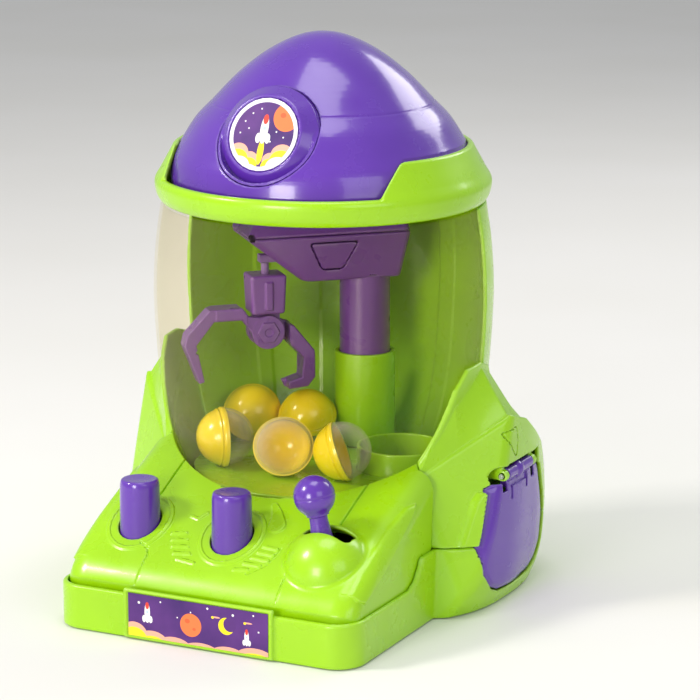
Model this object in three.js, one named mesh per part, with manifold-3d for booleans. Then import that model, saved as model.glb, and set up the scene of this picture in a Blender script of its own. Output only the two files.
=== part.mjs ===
// Tabletop claw crane machine, worked by hand: two buttons, a joystick, a swinging arm and a claw.
// Millimetres, +Z up. The front faces -Y. The origin is on the underside, below the barrel's axis.
import * as THREE from "three";
import { mergeVertices } from "three/addons/utils/BufferGeometryUtils.js";
import Module from "manifold-3d";

const wasm = await Module();
wasm.setup();

// Driving dimensions
const GAP = 0.35;
const WALL = 2.4;
const HEIGHT = 306;
const SEAM_Z = 38;
const FLOOR_Z = 65;
const WINDOW_TOP = 214;
const WINDOW_HALF_SPAN = THREE.MathUtils.degToRad(96);
const BARREL = [
  [56, 73], [66, 76.6], [80, 82.3], [110, 89.4],
  [140, 92.3], [168, 93.2], [195, 91.4], [216, 88.3],
];
const BODY = [
  // height, half width, half depth, squareness, centre towards the back
  [0, 108, 86, 2.7, 12],
  [10, 112, 88, 2.8, 11],
  [38, 115, 90, 3, 10],
  [60, 115, 89, 3, 10],
  [85, 114.5, 85, 2.8, 10],
  [112, 114, 80, 2.6, 10],
];
const TRAY = { halfWidth: 89, front: -145, corner: 16, back: -30, top: 24 };
const DECK = { frontZ: 30.4, frontY: -140.4, kinkY: -124.1, kinkZ: 45.3, slope: 0.44 };
const CLAW_BUTTON = { x: 0, y: -107.5, r: 11, top: 75.5, stemZ: 25.2 };
const LIFT_BUTTON = { x: -56.4, y: -106.6, r: 11, top: 75.5, stemZ: 30.3 };
const STICK = { x: 56.4, y: -106.6, z: 39.5, tilt: -16, bend: 4.5, domeR: 24, lowArm: 33, ballR: 11 };
const COLUMN = { y: 51.6, r: 14.3, bore: 12, low: 30.4, sleeveR: 17.2, sleeveTop: 119 };
const ARM = { angle: -46.5, length: 58.6, low: 163, high: 202 };
const CLAW_Z = 134;
const CHUTE = { x: 42.5, y: 11.2, r: 24.8, rim: 77.8 };
const BIN = { x0: 25.5, x1: 104.5, y0: -14.8, y1: 37.2, high: 56 };
// The body's front has two flat faces on each side, which meet at KNEE; their normals are the right side's
const KNEE = new THREE.Vector3(77.6, -41.4, 76.5);
const FRONT_FACE = new THREE.Vector3(0.225, -0.971, 0.082).normalize();
const CHEEK_FACE = new THREE.Vector3(0.63, -0.736, 0.2485).normalize();
const DOOR = {
  hingeX: 112,
  hingeZ: 73,
  y: 11,
  halfOutline: [[26, 69.5], [30, 67.5], [35.4, 52], [40.3, 37], [38.9, 22.7], [29.4, 12.6], [20, 9], [0, 8]],
};
const BALL_R = 16;
const BALLS = [
  // place, then the way the yellow half points: from the front round to +X, and up. The last lies in the exit
  // bin, so its height is given too; the others lie on the pit floor
  [-57.6, 23.4, 20, 30],
  [-46.3, -30, -50, 0],
  [-8, -33.5, 206, -30],
  [25.4, -28, -70, -20],
  [-25.5, 29.6, 20, 60],
  [82, 11.2, 30, 40, 28.7],
];
const PINION = { teeth: 14, sectorTeeth: 120, z0: 16.2, z1: 21.8 };
const SWING_PIVOT = new THREE.Vector2(20, -27);

const GREEN = { color: 0x8fd400, roughness: 0.25, metalness: 0 };
const PURPLE = { color: 0x5a2ca0, roughness: 0.25, metalness: 0 };
const YELLOW = { color: 0xffc400, roughness: 0.3, metalness: 0 };
const CLEAR = { color: 0xdfe6e2, roughness: 0.05, metalness: 0, transparent: true, opacity: 0.35 };
const STEEL = { color: 0xb8bcc0, roughness: 0.35, metalness: 1 };
const PAPER = { color: 0x3a2a6a, roughness: 0.35, metalness: 0 };

// Joining and cutting
const placed = (geometry, x = 0, y = 0, z = 0) => geometry.clone().translate(x, y, z);

function solid(geometry) {
  const bare = geometry.clone();
  bare.deleteAttribute("normal");
  bare.deleteAttribute("uv");
  const merged = mergeVertices(bare, 1e-4);
  return new wasm.Manifold(
    new wasm.Mesh({
      numProp: 3,
      vertProperties: merged.attributes.position.array,
      triVerts: new Uint32Array(merged.index.array),
    }),
  );
}

function geometryOf(manifold) {
  const mesh = manifold.getMesh();
  return new THREE.BufferGeometry()
    .setAttribute("position", new THREE.BufferAttribute(mesh.vertProperties, 3))
    .setIndex(new THREE.BufferAttribute(mesh.triVerts, 1));
}

const add = (...parts) => parts.map(asSolid).reduce((a, b) => a.add(b));
const cut = (first, ...rest) => rest.map(asSolid).reduce((a, b) => a.subtract(b), asSolid(first));
const common = (...parts) => parts.map(asSolid).reduce((a, b) => a.intersect(b));

// The biggest of the bodies that a cut leaves
function largest(manifold) {
  return manifold.decompose().reduce((a, b) => (a.volume() > b.volume() ? a : b));
}

function asSolid(thing) {
  return thing.isBufferGeometry ? solid(thing) : thing;
}

// Basic shapes, each from its lowest to its highest corner
function box(x0, x1, y0, y1, z0, z1) {
  const shape = new THREE.BoxGeometry(x1 - x0, y1 - y0, z1 - z0);
  return placed(shape, (x0 + x1) / 2, (y0 + y1) / 2, (z0 + z1) / 2);
}

function rod(r, z0, z1, x = 0, y = 0, sides = 24, r2 = r) {
  const geometry = new THREE.CylinderGeometry(r2, r, z1 - z0, sides).rotateX(Math.PI / 2);
  return placed(geometry, x, y, (z0 + z1) / 2);
}

function rodX(r, x0, x1, y, z, sides = 16) {
  return placed(rod(r, x0, x1, 0, 0, sides).rotateY(Math.PI / 2), 0, y, z);
}

function rodY(r, y0, y1, x, z, sides = 16) {
  return placed(rod(r, -y1, -y0, 0, 0, sides).rotateX(Math.PI / 2), x, 0, z);
}
const tube = (outer, inner, z0, z1, x = 0, y = 0, sides = 24) =>
  cut(rod(outer, z0, z1, x, y, sides), rod(inner, z0 - 1, z1 + 1, x, y, sides));

const shapeOf = (points) => new THREE.Shape(points.map(([x, y]) => new THREE.Vector2(x, y)));

// An outline in plan, pushed up from z0 to z1
function plate(shape, z0, z1, curveSegments = 8) {
  const settings = { depth: z1 - z0, bevelEnabled: false, curveSegments };
  return placed(new THREE.ExtrudeGeometry(shape, settings), 0, 0, z0);
}

// An outline seen from the side, given as y and z, pushed along x
function sidePlate(points, x0, x1) {
  const geometry = plate(shapeOf(points), x0, x1);
  return geometry.rotateX(Math.PI / 2).rotateZ(Math.PI / 2);
}

// An outline seen from the front, given as x and z, pushed along y
function frontPlate(points, y0, y1) {
  return plate(shapeOf(points), -y1, -y0).rotateX(Math.PI / 2);
}

function lathe(profile, sides = 48) {
  const points = profile.map(([r, z]) => new THREE.Vector2(r, z));
  return new THREE.LatheGeometry(points, sides).rotateX(Math.PI / 2);
}

// A closed skin over rings that all have the same number of points, lowest ring first
function loft(rings) {
  const count = rings[0].length;
  const position = rings.flat().flatMap((p) => [p.x, p.y, p.z]);
  const index = [];
  for (let k = 0; k + 1 < rings.length; k++) {
    for (let i = 0; i < count; i++) {
      const a = k * count + i;
      const b = k * count + ((i + 1) % count);
      index.push(a, b, b + count, a, b + count, a + count);
    }
  }
  const top = (rings.length - 1) * count;
  const flat = rings[0].map((p) => new THREE.Vector2(p.x, p.y));
  for (const [a, b, c] of THREE.ShapeUtils.triangulateShape(flat, [])) {
    index.push(a, c, b, top + a, top + b, top + c);
  }
  return new THREE.BufferGeometry()
    .setAttribute("position", new THREE.BufferAttribute(new Float32Array(position), 3))
    .setIndex(index);
}

function roundedRectangle(halfWidth, y0, y1, corner) {
  const shape = new THREE.Shape();
  shape.moveTo(-halfWidth, y1);
  shape.lineTo(-halfWidth, y0 + corner);
  shape.absarc(-halfWidth + corner, y0 + corner, corner, Math.PI, 1.5 * Math.PI);
  shape.absarc(halfWidth - corner, y0 + corner, corner, 1.5 * Math.PI, 2 * Math.PI);
  shape.lineTo(halfWidth, y1);
  return shape;
}

// The bulged body behind the tray, drawn in by inset
function body(inset = 0, count = 28) {
  const rings = BODY.map(([z, rx, ry, n, cy]) =>
    Array.from({ length: count }, (_, i) => {
      const t = (2 * Math.PI * i) / count;
      const c = Math.cos(t);
      const s = Math.sin(t);
      const x = Math.sign(c) * Math.abs(c) ** (2 / n) * (rx - inset);
      const y = Math.sign(s) * Math.abs(s) ** (2 / n) * (ry - inset);
      return new THREE.Vector3(x, y + cy, z);
    }),
  );
  rings[0].forEach((p) => (p.z -= inset > 0 ? 5 : 0));
  const both = (face) => [beyondFace(face, 1, -inset), beyondFace(face, -1, -inset)];
  const faces = [FRONT_FACE, CHEEK_FACE].flatMap(both);
  return cut(solid(loft(rings)), ...faces);
}

// Everything outside a flat face of the body's front, which is moved out by shift
function beyondFace(face, side, shift) {
  const out = face.clone().multiply(new THREE.Vector3(side, 1, 1));
  const point = KNEE.clone().multiply(new THREE.Vector3(side, 1, 1)).addScaledVector(out, shift);
  const turn = new THREE.Quaternion().setFromUnitVectors(new THREE.Vector3(0, 0, 1), out);
  return box(-250, 250, -250, 250, 0, 250).applyQuaternion(turn).translate(point.x, point.y, point.z);
}

const barrelCurve = new THREE.SplineCurve(BARREL.map(([z, r]) => new THREE.Vector2(r, z)));
const barrelPoints = barrelCurve.getPoints(9).map((p) => [p.x, p.y]);

// The barrel that the window and the rear shell follow, grown by extra, from z0 to z1
function barrel(extra, z0, z1, sides = 28) {
  const inside = barrelPoints.filter(([, z]) => z > z0 + 1 && z < z1 - 1);
  const rings = [[barrelRadius(z0), z0], ...inside, [barrelRadius(z1), z1]].map(([r, z]) => [r + extra, z]);
  return solid(lathe([[0, z0], ...rings, [0, z1]], sides));
}

function barrelRadius(z) {
  const next = Math.max(1, barrelPoints.findIndex(([, h]) => h >= z));
  const [r0, z0] = barrelPoints[next - 1];
  const [r1, z1] = barrelPoints[next];
  const share = THREE.MathUtils.clamp((z - z0) / (z1 - z0), 0, 1);
  return r0 + (r1 - r0) * share;
}

// A wedge about the axis, centred on the front and reaching halfAngle to each side
function frontWedge(halfAngle, z0, z1, reach = 160) {
  const shape = new THREE.Shape();
  shape.moveTo(0, 0);
  shape.lineTo(reach * Math.sin(-halfAngle), -reach * Math.cos(halfAngle));
  shape.absarc(0, 0, reach, -Math.PI / 2 - halfAngle, -Math.PI / 2 + halfAngle, false);
  return plate(shape, z0, z1, 12);
}

// The upright plane where the deck meets the wings: the part of space outside it on the right or left
function wingSide(side, gap) {
  const along = new THREE.Vector2(-18.4, 26.6).normalize();
  const out = new THREE.Vector2(along.y, -along.x);
  const start = new THREE.Vector2(77.6, -41.4).addScaledVector(out, gap);
  const a = start.clone().addScaledVector(along, -60);
  const b = start.clone().addScaledVector(along, 30);
  const c = new THREE.Vector2(a.x, a.y).addScaledVector(out, 90);
  const points = [a, c, new THREE.Vector2(170, 140), new THREE.Vector2(0, 140), new THREE.Vector2(0, b.y), b];
  return solid(plate(shapeOf(points.map((p) => [side * p.x, p.y])), 0, 160));
}

const trayOutline = (inset) =>
  roundedRectangle(TRAY.halfWidth - inset, TRAY.front + inset, TRAY.back, TRAY.corner - inset);
const doorPrism = (grow, x0, x1) => {
  const middle = new THREE.Vector2(DOOR.y, 36);
  const right = DOOR.halfOutline.map(([y, z]) => [DOOR.y + y, z]);
  const left = DOOR.halfOutline.slice(0, -1).map(([y, z]) => [DOOR.y - y, z]);
  const points = [...right, ...left.reverse()].map(([y, z]) => {
    const from = new THREE.Vector2(y, z).sub(middle);
    const out = from.clone().setLength(from.length() + grow).add(middle);
    return [out.x, out.y];
  });
  return sidePlate(points, x0, x1);
};
const screwPlaces = [[-70, -128], [70, -128], [-62, 72], [62, 72]];
const hingeRelief = () => {
  const { hingeX, hingeZ, y } = DOOR;
  const slot = box(105, 125, y - 16.6, y + 16.6, hingeZ - 7, hingeZ + 5.6);
  return add(slot, rodY(5.3, y - 37, y + 37, hingeX, hingeZ, 16));
};

// Housing
function lowerBase() {
  const low = -6;
  const top = SEAM_Z - 0.2;
  const outer = add(plate(trayOutline(0), 0, top), common(body(), box(-130, 130, -130, 130, 0, top)));
  const within = common(body(WALL), box(-130, 130, -130, 130, low, 60));
  const inner = add(plate(trayOutline(WALL), low, 60), within);
  const shoulder = [[-160, TRAY.top], [-75, TRAY.top], [-68, 27], [-62, 34], [-55, 50], [-160, 50]];
  const frame = box(-44, 44, TRAY.front - 1.6, TRAY.front + 1.5, 0.4, 27);
  const face = box(-41.9, 41.9, TRAY.front - 3, TRAY.front - 0.5, 1.6, 25.6);
  const shell = cut(outer, inner, sidePlate(shoulder, -95, 95), doorPrism(0.6, 95, 130));
  return add(shell, cut(frame, face));
}

function bottomCover() {
  const rear = common(body(WALL + GAP), box(-130, 130, -130, 130, 0, 2.5));
  const floor = add(plate(trayOutline(WALL + GAP), 0, 2.5), rear);
  const liftEars = [[-62, -58], [-50, -46]].map(([a, b]) => box(a, b, -49, -41, 2, 32));
  const clawEars = [[-9, -6], [6, 9]].map(([a, b]) => box(a, b, 0.8, 8.8, 2, 15));
  const post = rod(6, 2, 13, SWING_PIVOT.x, SWING_PIVOT.y, 16);
  const legs = [-1, 1].flatMap((s) => [-1, 1].map((t) => rod(3, 2, 12.6, 17 * s, COLUMN.y + 13 * t, 8)));
  const bosses = screwPlaces.map(([x, y]) => rod(5, 2, 14, x, y, 10));
  const holes = [
    rodX(1.6, -64, -44, -45, 27.5, 12),
    rodX(1.6, -12, 12, 4.8, 11, 12),
    rod(2.2, -1, 14, SWING_PIVOT.x, SWING_PIVOT.y, 12),
    ...screwPlaces.map(([x, y]) => rod(1.9, 3, 15, x, y, 8)),
    ...screwPlaces.map(([x, y]) => rod(3.6, -1, 3.2, x, y, 10)),
  ];
  return cut(add(floor, ...liftEars, ...clawEars, post, ...legs, ...bosses), ...holes);
}

function deckLine(drop) {
  const { frontY, frontZ, kinkY, kinkZ, slope } = DECK;
  const back = -20;
  return [
    [-142.3 + drop, 20],
    [-142.3 + drop, 25 - drop],
    [frontY + drop * 0.7, frontZ - drop * 0.7],
    [kinkY + drop * 0.3, kinkZ - drop],
    [back, kinkZ + slope * (back - kinkY) - drop],
    [back, 20],
  ];
}

function controlDeck() {
  const half = TRAY.halfWidth - WALL - GAP;
  const outline = roundedRectangle(half, TRAY.front + WALL + GAP, TRAY.back, TRAY.corner - WALL - GAP);
  const corner = TRAY.corner - 2 * WALL;
  const innerOutline = roundedRectangle(half - WALL, TRAY.front + 2 * WALL, TRAY.back, corner);
  const over = common(plate(outline, 24.5, 100), sidePlate(deckLine(0), -95, 95));
  const under = common(plate(innerOutline, 15, 100), sidePlate(deckLine(WALL), -95, 95));
  const dome = new THREE.SphereGeometry(STICK.domeR, 18, 12).translate(STICK.x, STICK.y, STICK.z);
  const domeInside = new THREE.SphereGeometry(STICK.domeR - 2, 14, 10).translate(STICK.x, STICK.y, STICK.z);
  const domeWall = cut(common(dome, box(30, 85, -135, -80, 42, 80)), domeInside);
  const slot = box(STICK.x - 12, STICK.x + 14, STICK.y - 7, STICK.y + 7, STICK.z + 5, 90);
  const holes = [slot, buttonHole(CLAW_BUTTON), buttonHole(LIFT_BUTTON)];
  const shell = cut(add(cut(over, under, domeInside), domeWall), ...holes);
  const wings = [1, -1].map((side) => cut(wingSide(side, -0.2), beyondFace(FRONT_FACE, side, 0.3)));
  const rear = add(...wings, barrel(0.4, 60, 200), rod(78.2, 0, 67, 0, 0, 40));
  const ears = [-1, 1].map((s) => {
    const y = STICK.y + 9 * s;
    return box(STICK.x - 4.5, STICK.x + 4.5, y - 1.3, y + 1.3, STICK.z - 5, 60);
  });
  const pinHole = rodY(1.75, STICK.y - 13, STICK.y + 13, STICK.x, STICK.z, 12);
  return cut(add(cut(shell, rear, box(-88, 88, -38, -20, 20, 110)), ...ears), pinHole);
}

const buttonHole = (b) => rod(b.r + 0.5, 30, 90, b.x, b.y, 24);

const PETAL = {
  outer: [[-66, 38.3], [-60, 50], [-41.4, 76.5], [-0.2, 105.3], [20, 99], [52, 78], [60, 60], [60, 38.3]],
  inner: [
    [-56, 60], [-41.4, 76.5], [-32, 98], [-22.6, 121], [-13.6, 131],
    [1.3, 132], [14, 128], [40, 98], [58, 60],
  ],
  // The slope from the outer petal's ridge up to the inner petal's edge: pairs of points, from the front back
  slope: [
    [[79.4, -39.6, 77.2], [77.9, -39.9, 79.5]],
    [[89.2, -27, 86.4], [83.5, -31.5, 98]],
    [[100.2, -14.6, 95], [88.9, -22.6, 121]],
    [[111.8, -0.2, 104.8], [93, 1.3, 131.6]],
    [[112, 20, 98.6], [91.6, 14, 127]],
    [[108.6, 45, 82], [78.5, 40, 97]],
  ],
};
const lowered = (points, drop) => points.map(([y, z]) => [y, z - drop]);

function wing(side) {
  const region = wingSide(side, 0.2);
  const [x0, x1] = side > 0 ? [4, 130] : [-130, -4];
  const block = common(region, body(), sidePlate(PETAL.outer, x0, x1));
  const hollow = common(wingSide(side, -0.5), body(WALL), sidePlate(lowered(PETAL.outer, 3), x0, x1));
  const keep = add(barrel(3, 56, 216), rod(78.7, 30, 60, 0, 0, 40));
  const shell = cut(block, cut(hollow, keep), barrel(0.4, 59, 216), rod(76.3, 30, 60, 0, 0, 40));
  const band = cut(barrel(3.2, 59, 140), barrel(0.4, 50, 216));
  const petal = common(band, region, sidePlate(PETAL.inner, x0, x1));
  const whole = add(shell, petal, common(cut(petalSlope(side), barrel(0.4, 50, 216)), region));
  if (side < 0) return largest(whole);
  const binRoom = box(50, 112, BIN.y0 - 0.5, BIN.y1 + 0.5, 30, BIN.high + 0.5);
  return largest(cut(rightHinge(whole), doorPrism(0.6, 95, 130), binRoom));
}

// A solid under the slope between the two petals: three-cornered sections along the wing
function petalSlope(side) {
  const under = ([outer, inner]) => [inner[0] - 12, inner[1], outer[2] - 2];
  const sections = PETAL.slope.map((pair) => [...pair, under(pair)]);
  const position = sections.flat().flatMap(([x, y, z]) => [side * x, y, z]);
  const last = 3 * (sections.length - 1);
  const index = [0, 2, 1, last, last + 1, last + 2];
  for (let k = 0; k < last; k += 3) {
    for (const [a, b] of [[0, 1], [1, 2], [2, 0]]) {
      index.push(k + a, k + b, k + b + 3, k + a, k + b + 3, k + a + 3);
    }
  }
  const geometry = new THREE.BufferGeometry()
    .setAttribute("position", new THREE.BufferAttribute(new Float32Array(position), 3))
    .setIndex(side > 0 ? index.reverse() : index);
  return solid(geometry);
}

// The right wing carries the prize door's two ears
function rightHinge(wingSolid) {
  const { hingeX, hingeZ, y } = DOOR;
  const ears = [-18.5, 18.5].flatMap((c) => [
    rodY(3.2, y + c - 1.9, y + c + 1.9, hingeX, hingeZ, 16),
    box(104, hingeX, y + c - 1.9, y + c + 1.9, hingeZ - 2.4, hingeZ + 6),
  ]);
  return cut(add(cut(wingSolid, hingeRelief()), ...ears), rodY(1.75, y - 23, y + 23, hingeX, hingeZ, 12));
}

function rearShell() {
  const open = frontWedge(WINDOW_HALF_SPAN + 0.02, 40, 220);
  const wall = cut(barrel(0.3, 56.5, WINDOW_TOP), barrel(-2, 50, 216), open);
  const skirtLine = [[60.4, 38.3], [60.4, 77], [80, 74], [93, 62], [100, 38.3]];
  const block = common(body(), sidePlate(skirtLine, -130, 130));
  const within = common(body(WALL), sidePlate(lowered(skirtLine, 3), -130, 130));
  const hollow = cut(within, rod(78.6, 20, 100, 0, 0, 40));
  const centre = [rod(75.5, 20, 60, 0, 0, 40), barrel(-0.2, 56, 100)];
  const skirt = cut(block, hollow, ...centre, doorPrism(0.6, 95, 130));
  return add(wall, skirt);
}

function windowPane() {
  const pane = cut(barrel(0, 60, WINDOW_TOP - 0.5), barrel(-1.6, 50, 216));
  return common(pane, frontWedge(WINDOW_HALF_SPAN, 50, 220));
}

// Roof: the ring's cheeks start at a slanted step on each side of its low front
const CAP = [
  [90.4, 223.6], [86, 232], [81.5, 240], [76.4, 248.6], [69.4, 259.5],
  [60.7, 268.5], [46, 283.5], [30.1, 295.7], [14, 303.6], [0, HEIGHT],
];
const RING = [[88.3, 214.8], [91.6, 222], [91.9, 226], [88.5, 232.5], [82.5, 243.5], [79.5, 246]];
const CAP_WALL = 2.6;
const RING_WALL = 3.4;
const CHEEK_START = THREE.MathUtils.degToRad(47);
// The badge: a cone that stands in a round pocket of the cap. y and z are the middle of the cone's foot
const BADGE = { y: -63, z: 257, tilt: 24, r: 28.5, rise: 7, stickerR: 19.8 };

// The space over the ring's low front, between the cheeks, drawn in by shrink
function lowFront(shrink) {
  const wedge = frontWedge(CHEEK_START - shrink / 90, 229 + shrink, 262);
  const slants = [-1, 1].map((side) => {
    const points = [[2, 229 + shrink], [5, 247], [5, 262], [-40, 262], [-40, 229 + shrink]];
    return placed(frontPlate(points.map(([x, z]) => [side * (x - shrink), z]), -120, -30), side * 62.5, 0, 0);
  });
  return add(wedge, ...slants);
}

function roofRing() {
  const inner = [...RING].reverse().map(([r, z]) => [r - RING_WALL, z]);
  return cut(lathe([...RING, ...inner, RING[0]], 32), lowFront(0));
}

// The room that the ring takes up, with a small gap: the cap is drawn in behind the cheeks
function ringSpace() {
  const inner = [...RING].reverse().map(([r, z]) => [r - RING_WALL - GAP, z]);
  const outside = [[130, 210], [130, 246.3], [75, 246.3]];
  const profile = [...outside, ...inner.slice(1), [inner.at(-1)[0], 210], [130, 210]];
  return cut(lathe(profile, 32), lowFront(GAP));
}

// The cap's outer profile, moved out by grow
function capOutside(grow = 0) {
  const side = 84 + grow;
  const dome = CAP.slice(1, -1).map(([r, z]) => [r + grow * 0.7, z + grow * 0.7]);
  return [[0, 217], [side, 217], [side, 229.4], ...dome, [0, HEIGHT + grow]];
}

function roofCap() {
  const outer = capOutside();
  const drop = CAP_WALL * 0.7;
  const dome = CAP.slice(1, -1).map(([r, z]) => [r - drop, z - drop]);
  const inner = [[0, 210], [81.6, 210], [81.6, 228], ...dome];
  const shell = cut(lathe(outer, 32), lathe([...inner, [0, HEIGHT - CAP_WALL]], 16));
  return cut(shell, ringSpace(), badgeSocket());
}

const onBadge = (geometry) =>
  placed(geometry.rotateX(THREE.MathUtils.degToRad(90 - BADGE.tilt)), 0, BADGE.y, BADGE.z);
const badgeSocket = () => onBadge(rod(BADGE.r + 0.35, -12, 30, 0, 0, 32));

function badgeBoss() {
  const { r, rise, stickerR } = BADGE;
  const back = [[0, -9], [r, -9], [r, 0], [stickerR + 1.6, rise]];
  const face = [[stickerR + 0.6, rise], [stickerR + 0.6, rise - 0.8], [0, rise - 0.8]];
  const cone = onBadge(lathe([...back, ...face], 32));
  const wall = onBadge(geometryOf(tube(r, r - 1.6, -9, 16, 0, 0, 32)));
  return add(cone, common(wall, lathe(capOutside(-0.3), 32)));
}

function badgeSticker() {
  return onBadge(rod(BADGE.stickerR, BADGE.rise - 0.5, BADGE.rise - 0.1, 0, 0, 28));
}

const frontSticker = () => box(-41.5, 41.5, TRAY.front - 0.9, TRAY.front - 0.3 - 0.5 + 0.01, 2, 25.2);

// Pit
function pitFloor() {
  const disc = rod(72.4, FLOOR_Z - 3, FLOOR_Z, 0, 0, 48);
  return cut(disc, rod(CHUTE.r + 0.35, 50, 80, CHUTE.x, CHUTE.y, 28), rod(15.2, 50, 80, 0, COLUMN.y, 24));
}

function columnSleeve() {
  return tube(COLUMN.sleeveR, COLUMN.r + 0.4, FLOOR_Z + 0.3, COLUMN.sleeveTop, 0, COLUMN.y, 28);
}

const chuteCup = () => tube(CHUTE.r, CHUTE.r - 2, BIN.high + 0.4, CHUTE.rim, CHUTE.x, CHUTE.y, 32);

function exitBin() {
  const { x0, x1, y0, y1, high } = BIN;
  const line = [[x0 - 2, high], [x0 - 2, 42], [32, 23.5], [x1, 6]];
  const under = line.map(([x, z]) => [x + 1, z - 2.4]).reverse();
  const floor = frontPlate([...line, [x1, 3.6], ...under.slice(1, -1), [x0 - 4, 42], [x0 - 4, high]], y0, y1);
  const side = [...line, [x1, high]];
  const walls = [[y0, y0 + 2], [y1 - 2, y1]].map(([a, b]) => frontPlate(side, a, b));
  return common(add(floor, ...walls), body(3.2));
}

function prizeDoor() {
  const skin = cut(body(0.2), body(WALL + 0.2));
  const panel = common(skin, doorPrism(0, 95, 130));
  const { hingeX, hingeZ, y } = DOOR;
  const arm = box(hingeX - 4, hingeX, y - 14, y + 14, hingeZ - 8, hingeZ);
  const knuckle = rodY(3.4, y - 15.8, y + 15.8, hingeX, hingeZ, 16);
  const notches = [-18.5, 18.5].map((c) => box(100, 125, y + c - 2.6, y + c + 2.6, hingeZ - 9, hingeZ - 1));
  return cut(add(cut(panel, ...notches), arm, knuckle), rodY(1.75, y - 23, y + 23, hingeX, hingeZ, 12));
}

const doorPin = () => rodY(1.4, DOOR.y - 21.4, DOOR.y + 21.4, DOOR.hingeX, DOOR.hingeZ, 12);

// Controls
function button(b) {
  const cap = lathe([[0, 40.5], [b.r, 40.5], [b.r - 0.6, b.top - 2], [b.r - 2.4, b.top], [0, b.top]], 20);
  const foot = rod(13.4, 40.6, 42.6, 0, 0, 20);
  const stem = add(foot, rod(5, b.stemZ + 2, 41, 0, 0, 12), rod(3, b.stemZ, 41, 0, 0, 10));
  return placedSolid(add(cap, stem), b.x, b.y, 0);
}

function placedSolid(manifold, x, y, z) {
  return solid(placed(geometryOf(manifold), x, y, z));
}

function joystick() {
  const bend = THREE.MathUtils.degToRad(STICK.bend);
  const ball = new THREE.SphereGeometry(STICK.ballR, 14, 10).rotateX(Math.PI / 2).translate(0, 0, 40.3);
  const neck = rod(6.2, 13, 32, 0, 0, 16, 4.6);
  const hub = rodY(5.5, -7, 7, 0, 0, 16);
  const arm = rod(2.6, -STICK.lowArm, 14, 0, 0, 12);
  const tip = new THREE.SphereGeometry(3.2, 8, 6).translate(0, 0, -STICK.lowArm);
  const upper = geometryOf(add(ball, neck)).rotateY(bend);
  const upright = cut(add(upper, hub, arm, tip), rodY(1.75, -8, 8, 0, 0, 12));
  return turned(upright, THREE.MathUtils.degToRad(STICK.tilt), STICK);
}

function turned(manifold, angle, place) {
  return solid(placed(geometryOf(manifold).rotateY(angle), place.x, place.y, place.z));
}

const joystickPin = () => rodY(1.4, STICK.y - 11.6, STICK.y + 11.6, STICK.x, STICK.z, 12);

// A coiled spring that stands on the bottom cover: a closed wire along a helix
function spring(x, y, z0, z1) {
  class Helix extends THREE.Curve {
    getPoint(t) {
      const a = t * 5 * 2 * Math.PI;
      return new THREE.Vector3(4 * Math.cos(a), 4 * Math.sin(a), z0 + (z1 - z0) * t);
    }
  }
  const wire = new THREE.Shape();
  wire.absarc(0, 0, 0.5, 0, 2 * Math.PI);
  const settings = { steps: 36, extrudePath: new Helix(), curveSegments: 2, bevelEnabled: false };
  return placed(new THREE.ExtrudeGeometry(wire, settings), x, y, 0);
}

// Levers
function liftLever() {
  const frontArm = box(-57.6, -50.4, -113, -45, 24.5, 28.5);
  const frontPad = box(-60, -50.4, -113, -90, 24.5, 28.5);
  const hub = rodX(5, -57.6, -50.4, -45, 27.5, 16);
  const hubFill = box(-57.6, -50.4, -50, -38, 24.5, 29.5);
  const rear = [
    [-57.6, -40], [-57.6, -34], [-20, 42], [-20, 56],
    [-14, 56], [-14, 36], [-50.4, -36], [-50.4, -40],
  ];
  const arm = plate(shapeOf(rear), 25, 29.6);
  const bar = box(-20, 20, 36, 41, 25, 29.6);
  const farFork = box(14, 20, 38, 56, 25, 29.6);
  const pads = [[-20, -14], [14, 20]].map(([a, b]) => box(a, b, COLUMN.y - 2, COLUMN.y + 2, 29, 30));
  const whole = add(frontArm, frontPad, hub, hubFill, arm, bar, farFork, ...pads);
  return cut(whole, rodX(1.75, -70, -40, -45, 27.5, 12));
}

function clawLever() {
  const line = [
    [-112, 20.5], [-112, 24], [-100, 24], [4.8, 14.6], [10, 13], [40, 7.4],
    [54, 7.2], [54, 3.8], [30, 3.8], [4.8, 7], [-100, 20.5],
  ];
  const pad = box(-5, 5, -112, -103, 20.5, 24);
  return cut(add(sidePlate(line, -4, 4), pad), rodX(1.75, -20, 20, 4.8, 11, 12));
}

// The sector's teeth, and the pinion's, share one module
const GEAR_CENTRES = SWING_PIVOT.distanceTo(new THREE.Vector2(0, COLUMN.y));
const MODULE = (2 * GEAR_CENTRES) / (PINION.teeth + PINION.sectorTeeth);

function tooth(pitchR, angle, teeth, z0, z1) {
  const half = (Math.PI / teeth) * 0.36;
  const root = pitchR - 1.25 * MODULE - 0.4;
  const rows = [[root, half * 1.9], [pitchR, half], [pitchR + 0.72 * MODULE, half * 0.5]];
  const points = [...rows.map(([r, a]) => [r, -a]), ...[...rows].reverse().map(([r, a]) => [r, a])];
  const outline = points.map(([r, a]) => [r * Math.cos(angle + a), r * Math.sin(angle + a)]);
  return plate(shapeOf(outline), z0, z1);
}

const toColumn = Math.atan2(COLUMN.y - SWING_PIVOT.y, -SWING_PIVOT.x);
const SWING_REST = THREE.MathUtils.degToRad(5.425);

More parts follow.
